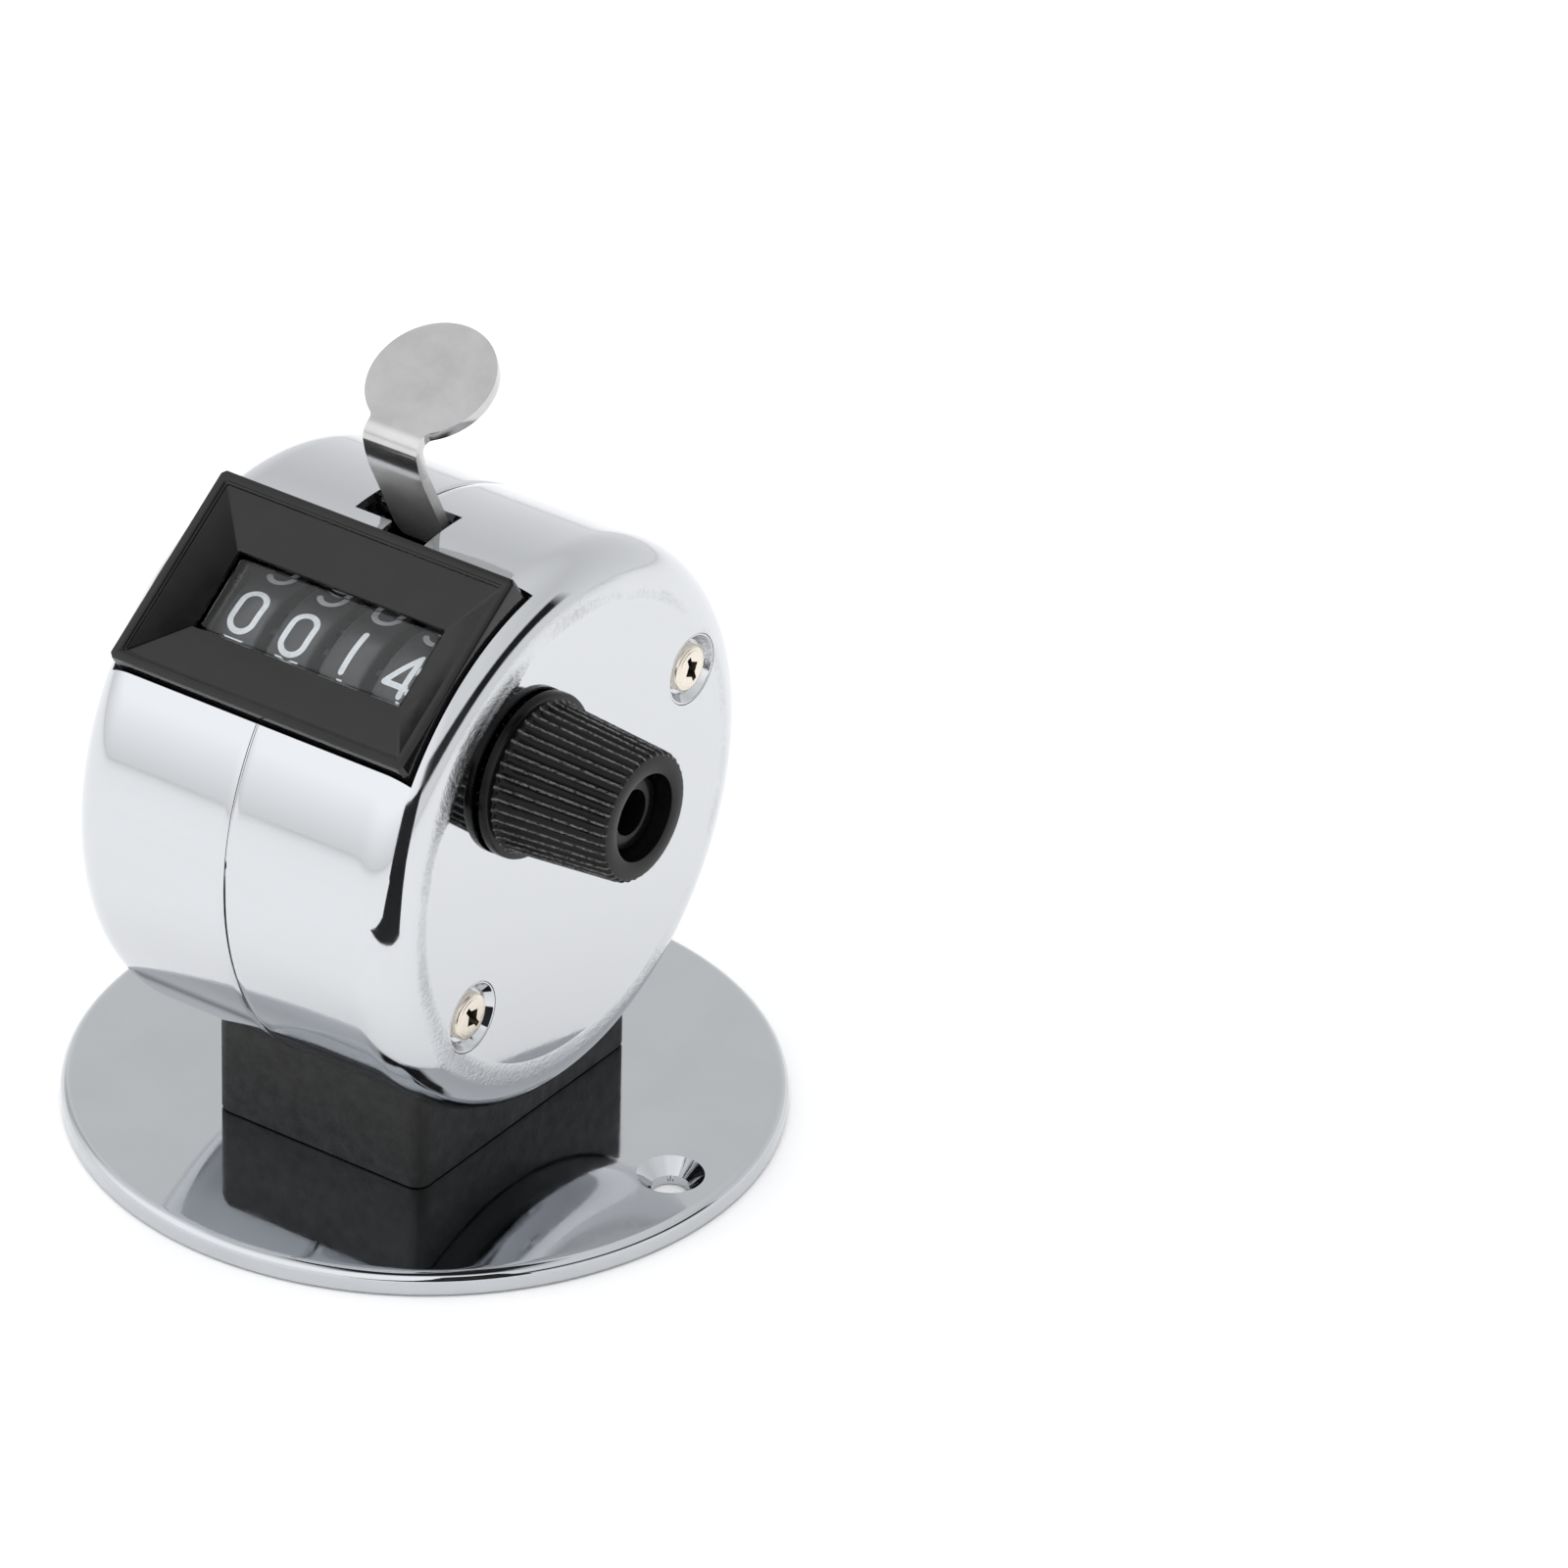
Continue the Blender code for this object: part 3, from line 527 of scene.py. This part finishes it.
def make_screw(name, y, z, spin):
    """Pan head with a cross recess turned by spin degrees, its shank, and the dish round it."""
    place = Matrix.Translation(Vector((0, y, z)) * MM) @ ALONG_X
    seat, face = DRUM_HALF - 0.95, DRUM_HALF
    cup = [(3.08, seat - 0.7), (3.08, face - 0.1), (3.05, face - 0.03), (2.98, face + 0.005)]
    cup += [(2.92, face - 0.01), (2.86, face - 0.07), (2.4, seat + 0.1), (2.33, seat + 0.03)]
    cup += [(2.25, seat), (1.2, seat), (1.2, seat - 0.7)]
    lathe(f"screw_dish_{name}", cup, "case", "case", (), place, 96, 50, True)
    top = seat + 0.98
    head = [(0, top), (1.5, top), (1.58, top - 0.02), (1.64, top - 0.07), (1.72, top - 0.08)]
    head += [(1.85, top - 0.13), (1.96, top - 0.25), (2.02, top - 0.45), (2.02, seat + 0.03)]
    head += [(1.0, seat + 0.03), (1.0, 6.7), (0, 6.7)]
    obj = lathe(f"case_screw_{name}_look", head, "nickel", "case", [f"case_screw_{name}"],
                place, 64, 28)
    cutters = []
    for turn, length, wide in ((0, 3.7, 0.62), (90, 3.7, 0.62), (45, 1.7, 1.7)):
        bm = bmesh.new()
        bmesh.ops.create_cube(bm, size=1)
        bmesh.ops.scale(bm, vec=(length * MM, wide * MM, 2.4 * MM), verts=bm.verts)
        for v in bm.verts:
            if v.co.z < 0:
                v.co.x *= 0.4
                v.co.y *= 0.6
        spot = Matrix.Translation((0, 0, (top + 0.2) * MM))
        bm.transform(place @ spot @ Matrix.Rotation(math.radians(turn + spin), 4, "Z"))
        cutters.append(cutter_of(bm))
    cut_away(obj, cutters, 28)
    # Faces down inside the cross recess get the dark look: painted shade in the recess.
    obj.data.materials.append(LOOKS["recess"])
    for face in obj.data.polygons:
        x, fy, fz = face.center / MM
        if x < top - 0.03 and math.hypot(fy - y, fz - z) < 1.3 and x > seat - 1:
            face.material_index = 1


# ---------------------------------------------------------------- window


def chamfered_rect(half_x, half_y, cut, z, corner=6):
    """Like rounded_rect, point for point, with straight corners."""
    points = []
    for quarter in range(4):
        sx, sy = (1 if quarter in (0, 3) else -1), (1 if quarter < 2 else -1)
        for i in range(corner + 1):
            t = i / corner if quarter % 2 == 0 else 1 - i / corner
            points.append((sx * (half_x - cut * t), sy * (half_y - cut * (1 - t)), z))
    return points


def make_bezel():
    outside = [
        (13.95, 8.45, 0.3, 24.2), (14.42, 8.92, 0.34, 24.2), (14.52, 9.02, 0.35, 24.17),
        (14.58, 9.08, 0.36, 24.1), (14.6, 9.1, 0.36, 23.98), (14.6, 9.1, 0.36, 21.0),
        (14.5, 9.0, 0.34, 20.95),
    ]
    inside = [
        (12.2, 5.4, 0.3, 20.95), (12.2, 5.4, 0.3, 22.1), (10.3, 3.65, 0.12, 22.1),
        (10.3, 3.65, 0.12, 22.44), (10.33, 3.68, 0.12, 22.5), (10.4, 3.75, 0.14, 22.54),
        (13.5, 8.0, 0.25, 23.84), (13.55, 8.05, 0.25, 23.88), (13.58, 8.08, 0.25, 23.96),
        (13.6, 8.1, 0.25, 24.02), (13.72, 8.22, 0.3, 24.04), (13.78, 8.28, 0.3, 24.06),
        (13.82, 8.32, 0.3, 24.14), (13.87, 8.37, 0.32, 24.19),
    ]
    bm = bmesh.new()
    loops = [chamfered_rect(*row) for row in outside] + [rounded_rect(*row) for row in inside]
    loop_rows(bm, loops, wrap=True)
    finish_mesh("window_bezel_look", bm, "bezel", "case", ["window_bezel"],
                FACET, 30)


def make_lens():
    rows = [(9.86, 3.21, 0.12, 22.14), (9.98, 3.33, 0.2, 22.03), (9.98, 3.33, 0.2, 21.84),
            (10.04, 3.39, 0.2, 21.8), (11.7, 4.9, 0.3, 21.8), (11.9, 5.1, 0.4, 21.65),
            (11.9, 5.1, 0.4, 21.2), (11.8, 5.0, 0.4, 21.1)]
    bm = bmesh.new()
    made = loop_rows(bm, [rounded_rect(*row, corner=4) for row in rows])
    bm.faces.new(made[0])
    bm.faces.new(made[-1])
    finish_mesh("window_lens_look", bm, "lens", "case", ["window_lens"],
                FACET, 30)


STROKES = {
    "0": [("oval", 0.0, 0.0, 1.08, 1.89)],
    "1": [("line", (0.0, 1.92), (0.0, -1.92))],
    "2": [("arc", 0.0, 0.88, 1.03, 168, -32), ("line", (0.87, 0.34), (-0.98, -1.86)),
          ("line", (-1.05, -1.88), (1.1, -1.88))],
    "3": [("arc", 0.0, 0.95, 0.94, 155, -78), ("arc", 0.0, -0.87, 1.02, 78, -155)],
    "4": [("line", (0.55, -1.92), (0.55, 1.92)), ("line", (0.5, 1.9), (-1.3, -1.1)),
          ("line", (-1.3, -1.12), (1.2, -1.12))],
    "5": [("line", (0.95, 1.88), (-0.85, 1.88)), ("line", (-0.85, 1.88), (-0.95, 0.2)),
          ("arc", 0.0, -0.8, 1.1, 140, -142)],
    "6": [("oval", 0.0, -0.8, 1.05, 1.1), ("line", (-1.05, -0.8), (-1.05, 0.85)),
          ("arc", 0.0, 0.85, 1.05, 180, 30)],
    "7": [("line", (-1.05, 1.88), (1.05, 1.88)), ("line", (1.05, 1.88), (-0.3, -1.92))],
    "8": [("oval", 0.0, 1.0, 0.88, 0.9), ("oval", 0.0, -0.88, 1.03, 1.02)],
    "9": [("oval", 0.0, 0.8, 1.05, 1.1), ("line", (1.05, 0.8), (1.05, -0.85)),
          ("arc", 0.0, -0.85, 1.05, 0, -150)],
}


def stroke_path(stroke):
    """(points, closed) of one stroke in mm, x across the wheel and y up the figure."""
    kind, values = stroke[0], stroke[1:]
    if kind == "line":
        (x0, y0), (x1, y1) = values
        steps = max(2, int(math.hypot(x1 - x0, y1 - y0) / 0.25))
        return [(x0 + (x1 - x0) * i / steps, y0 + (y1 - y0) * i / steps)
                for i in range(steps + 1)], False
    if kind == "arc":
        cx, cy, r, start, end = values
        return arc(cx, cy, r, start, end, 20), False
    cx, cy, half_x, half_y = values
    straight = half_y - half_x
    side = [straight * (1 - i / 6) for i in range(1, 12)]
    points = [(x, y + straight) for x, y in arc(cx, cy, half_x, 0, 180, 24)]
    points += [(cx - half_x, cy + v) for v in side]
    points += [(x, y - straight) for x, y in arc(cx, cy, half_x, 180, 360, 24)]
    points += [(cx + half_x, cy - v) for v in side]
    return points, True


def add_stroke(bm, stroke, width, put, lift):
    """Adds a flat ribbon with round ends along a stroke; put maps (x, y, lift) to 3-D."""
    points, closed = stroke_path(stroke)
    count = len(points)
    left, right = [], []
    for i, (x, y) in enumerate(points):
        a = points[(i - 1) % count] if closed or i else points[i]
        b = points[(i + 1) % count] if closed or i < count - 1 else points[i]
        dx, dy = b[0] - a[0], b[1] - a[1]
        size = math.hypot(dx, dy) or 1.0
        nx, ny = -dy / size * width / 2, dx / size * width / 2
        left.append(bm.verts.new(put(x + nx, y + ny, lift)))
        right.append(bm.verts.new(put(x - nx, y - ny, lift)))
    for i in range(count if closed else count - 1):
        j = (i + 1) % count
        bm.faces.new((left[i], left[j], right[j], right[i]))
    if closed:
        return
    for end, inner in ((0, 1), (count - 1, count - 2)):
        cx, cy = points[end]
        dx, dy = cx - points[inner][0], cy - points[inner][1]
        base = math.atan2(dy, dx)
        fan = [bm.verts.new(put(cx + width / 2 * 0.98 * math.cos(base + t),
                                cy + width / 2 * 0.98 * math.sin(base + t), lift + 0.002))
               for t in (math.pi / 2 - math.pi * k / 8 for k in range(9))]
        bm.faces.new(fan)


def make_wheels():
    """Four wheels, each with the figure that it shows and how many degrees it is off."""
    shown = {"thousands": (0, 1.7), "hundreds": (0, 0.0), "tens": (1, 1.7), "units": (4, 0.5)}
    teeth, tip, root, rim = 20, 7.65, 6.49, 8.9
    phase = math.radians(-50.0) + math.pi / teeth
    count = 320

    def gear(a):
        t = ((a - phase) * teeth / math.tau) % 1.0
        t = abs(t - 0.5) * 2
        return root + (tip - root) * min(max((t - 0.2) / 0.6, 0), 1)

    for i, (name, (digit, slip)) in enumerate(shown.items()):
        x = (i - 1.5) * WHEEL_PITCH
        loops = [ring(-2.52, count, 1.27), ring(-2.52, count, 6.0), ring(-2.44, count, 6.1),
                 ring(-2.07, count, 6.1), ring(-2.07, count, 8.55), ring(-2.02, count, 8.72),
                 ring(-1.9, count, 8.84), ring(-1.75, count, rim), ring(1.75, count, rim),
                 ring(1.9, count, 8.84), ring(2.02, count, 8.72), ring(2.07, count, 8.55),
                 ring(2.07, count, gear), ring(2.52, count, gear), ring(2.52, count, 1.27)]
        bm = bmesh.new()
        loop_rows(bm, loops, wrap=True)
        place = Matrix.Translation(Vector((x, AXLE_Y, AXLE_Z)) * MM)
        finish_mesh(f"digit_wheel_{name}_look", bm, "wheel", f"wheel_{name}",
                    [f"digit_wheel_{name}"], place, 30)
        bm = bmesh.new()
        window = math.pi / 2 + TILT
        for number in range(10):
            centre = window - math.tau * (digit - number) / 10 - math.radians(slip + 4.2)

            def put(u, v, lift, centre=centre):
                r = rim + 0.015 + lift
                a = centre - v / rim
                return Vector((x + u, AXLE_Y + r * math.cos(a), AXLE_Z + r * math.sin(a))) * MM

            for k, stroke in enumerate(STROKES[str(number)]):
                add_stroke(bm, stroke, 0.52, put, 0.004 * k)
        finish_mesh(f"figures_{name}", bm, "figure", f"wheel_{name}", (),
                    None, 60)


# ---------------------------------------------------------------- knob


def make_knob():
    count = FLUTES * 8
    x0, flange_x, x1 = 16.9, 17.8, 28.1
    r0, r1 = 6.3, 5.55

    def fluted(r, deep):
        return lambda a: r - deep * (0.5 - 0.5 * math.cos(a * FLUTES)) ** 0.55

    body = []
    span = x1 - 0.4 - (flange_x + 0.45)
    for i in range(13):
        t = i / 12
        body.append(ring(x1 - 0.4 - span * t, count, fluted(r1 + (r0 - r1) * t, 0.34)))
    loops = [
        ring(x0, count, 1.5), ring(22.0, count, 1.5), ring(22.0, count, 1.9),
        ring(26.7, count, 1.9), ring(26.77, count, 1.93), ring(26.8, count, 2.0),
        ring(26.8, count, 3.0), ring(26.77, count, 3.07), ring(26.7, count, 3.1),
        ring(25.3, count, 3.1), ring(25.2, count, 3.17), ring(25.2, count, 3.5),
        ring(25.3, count, 3.56), ring(x1 - 0.12, count, 3.68), ring(x1 - 0.03, count, 3.71),
        ring(x1, count, 3.8), ring(x1, count, r1 - 0.42), ring(x1 - 0.03, count, r1 - 0.3),
        ring(x1 - 0.16, count, fluted(r1 - 0.1, 0.2)),
        *body,
        ring(flange_x + 0.15, count, fluted(r0 + 0.02, 0.2)),
        ring(flange_x + 0.02, count, r0 + 0.06),
        ring(flange_x, count, r0 + 0.15), ring(flange_x, count, 6.75),
        ring(flange_x - 0.07, count, 6.93), ring(flange_x - 0.25, count, 7.0),
        ring(x0 + 0.1, count, 7.0), ring(x0, count, 6.9),
    ]
    bm = bmesh.new()
    loop_rows(bm, loops, wrap=True)
    place = Matrix.Translation(Vector((0, AXLE_Y, AXLE_Z)) * MM)
    finish_mesh("reset_knob_look", bm, "knob", "reset_axle", ["reset_knob"],
                place, 40)


# ---------------------------------------------------------------- lever


def smooth_path(points, radii, per=12):
    """Rounds each inner corner of a (y, z) path."""
    out = [Vector(points[0])]
    for before, here, after, radius in zip(points, points[1:], points[2:], radii):
        a, b, c = Vector(before), Vector(here), Vector(after)
        u, v = (a - b), (c - b)
        reach = min(radius, u.length * 0.45, v.length * 0.45)
        p, q = b + u.normalized() * reach, b + v.normalized() * reach
        for i in range(per + 1):
            t = i / per
            out.append(p * (1 - t) ** 2 + b * 2 * t * (1 - t) + q * t * t)
    out.append(Vector(points[-1]))
    return out


def resample(path, step):
    lengths = [0.0]
    for a, b in zip(path, path[1:]):
        lengths.append(lengths[-1] + (b - a).length)
    count = max(2, int(lengths[-1] / step))
    out, k = [], 0
    for i in range(count + 1):
        s = lengths[-1] * i / count
        while k < len(lengths) - 2 and lengths[k + 1] < s:
            k += 1
        span = lengths[k + 1] - lengths[k] or 1.0
        out.append((s, path[k].lerp(path[k + 1], (s - lengths[k]) / span)))
    return out


def strip_half_width(s, pad_r, stem, fillet):
    """Half width of the pressed strip at a distance from the pad's far edge."""
    out, side = pad_r + fillet, stem + fillet
    reach = math.sqrt(out ** 2 - side ** 2)
    if s < pad_r + reach * pad_r / out:
        return math.sqrt(max(pad_r ** 2 - (s - pad_r) ** 2, 0.0))
    if s < pad_r + reach:
        return side - math.sqrt(fillet ** 2 - (pad_r + reach - s) ** 2)
    return stem


def make_lever():
    pad_r, pad_y, pad_z, pad_tilt = 5.5, 0.5, 67.0, math.radians(28.0)
    stem, fillet, sheet = 2.65, 0.8, 0.95
    along = Vector((math.cos(pad_tilt), math.sin(pad_tilt)))
    tip = Vector((pad_y, pad_z)) + along * pad_r
    path = [tuple(tip), tuple(tip - along * 11.56), (-4.2, 61.5), (-1.62, 56.4), (-0.7, 54.4),
            (0.6, 52.5), (3.4, 51.0), (PIVOT_Y - 0.6, PIVOT_Z + 1.3)]
    samples = resample(smooth_path(path, (0.85, 2.5, 2.0, 2.0, 2.4, 2.4)), 0.12)
    bm = bmesh.new()
    across = [math.sin(math.pi / 2 * k / 14) for k in range(-14, 15)]
    lead = [pad_r - pad_r * math.cos(math.pi / 2 * i / 22) for i in range(1, 23)]
    spine = [(s, tip - along * s) for s in lead] + [(s, p) for s, p in samples if s > pad_r + 0.1]
    rows = []
    for s, p in spine:
        w = strip_half_width(s, pad_r, stem, fillet)
        rows.append([bm.verts.new(Vector((u * w, p.x, p.y)) * MM) for u in across])
    for a, b in zip(rows, rows[1:]):
        for i in range(len(across) - 1):
            bm.faces.new((a[i], a[i + 1], b[i + 1], b[i]))
    end = bm.verts.new(Vector((0, tip.x, tip.y)) * MM)
    for i in range(len(across) - 1):
        bm.faces.new((rows[0][i + 1], rows[0][i], end))
    obj = finish_mesh("thumb_lever_look", bm, "lever", "lever", ["thumb_lever"],
                      None, 180)
    thick = obj.modifiers.new("sheet", "SOLIDIFY")
    thick.thickness = sheet * MM
    thick.offset = 0
    thick.use_even_offset = True
    bake(obj, 60)
    edge = obj.modifiers.new("edge", "BEVEL")
    edge.width = 0.38 * MM
    edge.segments = 5
    edge.limit_method = "ANGLE"
    edge.angle_limit = math.radians(50)
    bake(obj, 50)
    hub = [(2.0, -3.1), (1.9, -3.2), (1.07, -3.2), (1.07, 12.1), (1.9, 12.1), (2.0, 12.0)]
    place = Matrix.Translation(Vector((0, PIVOT_Y, PIVOT_Z)) * MM) @ ALONG_X
    lathe("lever_hub_look", hub, "steel", "lever", (), place, 64, wrap=True)
    make_arm()


def make_arm():
    """Side arm from the hub to the pawl, with the pawl's stud."""
    bm = bmesh.new()
    ya, za, ra, yb, zb, rb = PIVOT_Y, PIVOT_Z, 1.9, STUD_Y, STUD_Z, 1.5
    points = [(yb + rb * math.cos(a), zb + rb * math.sin(a))
              for a in (math.pi / 2 + math.pi * k / 16 for k in range(17))]
    points += [(ya + ra * math.cos(a), za + ra * math.sin(a))
               for a in (-math.pi / 2 + math.pi * k / 16 for k in range(17))]
    for x in (11.45, 12.05):
        for y, z in points:
            bm.verts.new(Vector((x, y, z)) * MM)
    bm.verts.ensure_lookup_table()
    count = len(points)
    near, far = bm.verts[:count], bm.verts[count:]
    bm.faces.new(near[::-1])
    bm.faces.new(far)
    for i in range(count):
        j = (i + 1) % count
        bm.faces.new((near[i], near[j], far[j], far[i]))
    finish_mesh("lever_arm_look", bm, "steel", "lever", (), None, 40)
    stud = [(0, 10.5), (0.7, 10.5), (0.8, 10.6), (0.8, 11.5), (0, 11.5)]
    place = Matrix.Translation(Vector((0, STUD_Y, STUD_Z)) * MM) @ ALONG_X
    lathe("pawl_stud_look", stud, "steel", "lever", (), place, 32)


# ---------------------------------------------------------------- carried-over nodes


def paint_nodes():
    by_slot = {"steel": "steel", "brass": "brass", "chrome_plate": "case", "nickel": "nickel",
               "black_plastic": "bezel", "grained_plastic": "block", "wheel_plastic": "wheel",
               "clear_plastic": "lens", "satin_chrome": "lever"}
    slots = {s["node"]: s["material_slot"] for s in frame["record"]["subparts"]}
    for name, obj in frame["nodes"].items():
        if obj.hide_render:
            continue
        look = LOOKS[by_slot[slots[name]]]
        if not obj.material_slots:
            obj.data.materials.append(look)
        for holder in obj.material_slots:
            holder.material = look


# ---------------------------------------------------------------- stage


def make_floor():
    mesh = bpy.data.meshes.new("floor")
    bm = bmesh.new()
    bmesh.ops.create_grid(bm, x_segments=1, y_segments=1, size=3.0)
    bm.to_mesh(mesh)
    bm.free()
    floor = bpy.data.objects.new("floor", mesh)
    floor.location = (0, 0, -0.0001)
    look = Look("floor_look", (0.93, 0.93, 0.93), 0.9, 0.0)
    look.colour(look.noise(40, 2), [(0.3, (0.92, 0.92, 0.92)), (0.7, (0.94, 0.94, 0.94))])
    mesh.materials.append(look.mat)
    bpy.context.scene.collection.objects.link(floor)


def make_light():
    """A soft light straight above, which the chrome doesn't reflect."""
    height, size, power = 1.3, 1.4, 11.5
    data = bpy.data.lights.new("overhead", "AREA")
    data.shape = "RECTANGLE"
    data.size, data.size_y = size, size
    data.energy = power
    light = bpy.data.objects.new("overhead", data)
    light.location = (0, 0, height)
    light.visible_glossy = False
    bpy.context.scene.collection.objects.link(light)


# Brightness of the tent, and the changes to it: how much, then the lowest and highest elevation
# with its soft edge, then the middle and half width in azimuth with its soft edge, in degrees.
TENT_BASE, TENT_LEAST = 0.99, 0.02
TENT = (
    (0.42, (0, 66, 20), (-10, 82, 25)),
    (-0.19, (0, 70, 36), (180, 88, 45)),
    (-1.1, (69, 200, 6), (0, 400, 1)),
    (-0.9, (57, 200, 8), (40, 62, 25)),
    (-0.24, (57, 90, 4), (-85, 45, 20)),
    (-0.3, (5, 44, 8), (-104, 12, 8)),
    (-0.55, (48, 60, 5), (-120, 8, 8)),
    (-0.95, (9, 26, 3), (97, 38, 6)),
)


def make_world():
    """A white tent by direction: dark overhead, brighter in front, greyer behind.

    Azimuth 0 is -Y and 90 is +X.
    """
    world = bpy.data.worlds.new("tent")
    bpy.context.scene.world = world
    world.use_nodes = True
    tree = world.node_tree
    coords = tree.nodes.new("ShaderNodeTexCoord")
    split = tree.nodes.new("ShaderNodeSeparateXYZ")
    tree.links.new(coords.outputs["Generated"], split.inputs["Vector"])

    def calc(kind, *values, clamp=False):
        return math_node(tree, kind, *values, clamp=clamp)

    to_degrees = 180 / math.pi
    height = calc("MULTIPLY", calc("ARCSINE", split.outputs["Z"]), to_degrees)
    turn = calc("ARCTAN2", split.outputs["X"], calc("MULTIPLY", split.outputs["Y"], -1.0))
    turn = calc("MULTIPLY", turn, to_degrees)

    def band(low, high, soft):
        rise = calc("DIVIDE", calc("SUBTRACT", height, low), soft, clamp=True)
        fall = calc("DIVIDE", calc("SUBTRACT", high, height), soft, clamp=True)
        return calc("MULTIPLY", rise, fall)

    def around(centre, half, soft):
        turned = calc("WRAP", calc("SUBTRACT", turn, centre), 180.0, -180.0)
        return calc("DIVIDE", calc("SUBTRACT", half, calc("ABSOLUTE", turned)), soft, clamp=True)

    value = TENT_BASE
    for change, elevations, azimuths in TENT:
        patch = calc("MULTIPLY", band(*elevations), around(*azimuths))
        value = calc("ADD", value, calc("MULTIPLY", patch, change))
    back = tree.nodes["Background"]
    tree.links.new(calc("MAXIMUM", value, TENT_LEAST), back.inputs["Strength"])
    back.inputs["Color"].default_value = (0.985, 0.99, 1.0, 1)


def make_dark_card():
    """A black card beside the camera, seen only in the chrome's reflections."""
    near, far = Vector((26, -112)), Vector((77, -38))
    outline = ((0.08, 0), (1.0, 0), (0.98, 12), (0.93, 30), (0.90, 62), (0.64, 62), (0.58, 30),
               (0.5, 14), (0.3, 6))
    mesh = bpy.data.meshes.new("dark_card")
    points = [Vector((*(near + (far - near) * t), z - 0.05)) * MM for t, z in outline]
    mesh.from_pydata(points, [], [tuple(range(len(outline)))])
    look = Look("dark_card_look", (0.01, 0.01, 0.01), 0.9, 0.0)
    look.colour(look.noise(60, 2), [(0.3, (0.008, 0.008, 0.009)), (0.7, (0.014, 0.014, 0.015))])
    mesh.materials.append(look.mat)
    card = bpy.data.objects.new("dark_card", mesh)
    for kind in ("camera", "diffuse", "shadow", "transmission"):
        setattr(card, f"visible_{kind}", False)
    bpy.context.scene.collection.objects.link(card)


def make_camera():
    """At the photograph's viewing angle, aimed to put the object left of the frame's middle."""
    turn, rise, roll = math.radians(36.86), math.radians(31.43), math.radians(0.31)
    distance, middle, low, lens = 877.3, 40, 10.86, 249.6375
    aim_right, aim_up = 0.032807571, 0.0025236593
    right = Vector((math.cos(turn), math.sin(turn), 0))
    back = Vector((math.sin(turn) * math.cos(rise), -math.cos(turn) * math.cos(rise),
                   math.sin(rise)))
    up = back.cross(right)
    side = right * math.cos(roll) + up * math.sin(roll)
    top = up * math.cos(roll) - right * math.sin(roll)
    place = Vector((0, 0, middle)) + back * distance - top * low
    ahead = (side * aim_right + top * aim_up - back).normalized()
    side = (side - ahead * side.dot(ahead)).normalized()
    top = side.cross(ahead)
    data = bpy.data.cameras.new("camera")
    data.sensor_width = 36.0
    data.lens = lens
    data.clip_start, data.clip_end = 0.05, 20
    camera = bpy.data.objects.new("camera", data)
    bpy.context.scene.collection.objects.link(camera)
    facing = Matrix((side, top, -ahead)).transposed()
    camera.matrix_world = Matrix.Translation(place * MM) @ facing.to_4x4()
    bpy.context.scene.camera = camera


make_plate()
make_block()
make_shell(1)
make_shell(-1)
for screw_name, (screw_y, screw_z, screw_turn) in CASE_SCREWS.items():
    make_screw(screw_name, screw_y, screw_z, screw_turn)
make_bezel()
make_lens()
make_wheels()
make_knob()
make_lever()
paint_nodes()
make_floor()
make_dark_card()
make_world()
make_light()
make_camera()
bpy.context.scene.view_settings.view_transform = "Standard"

bpy.context.view_layer.update()
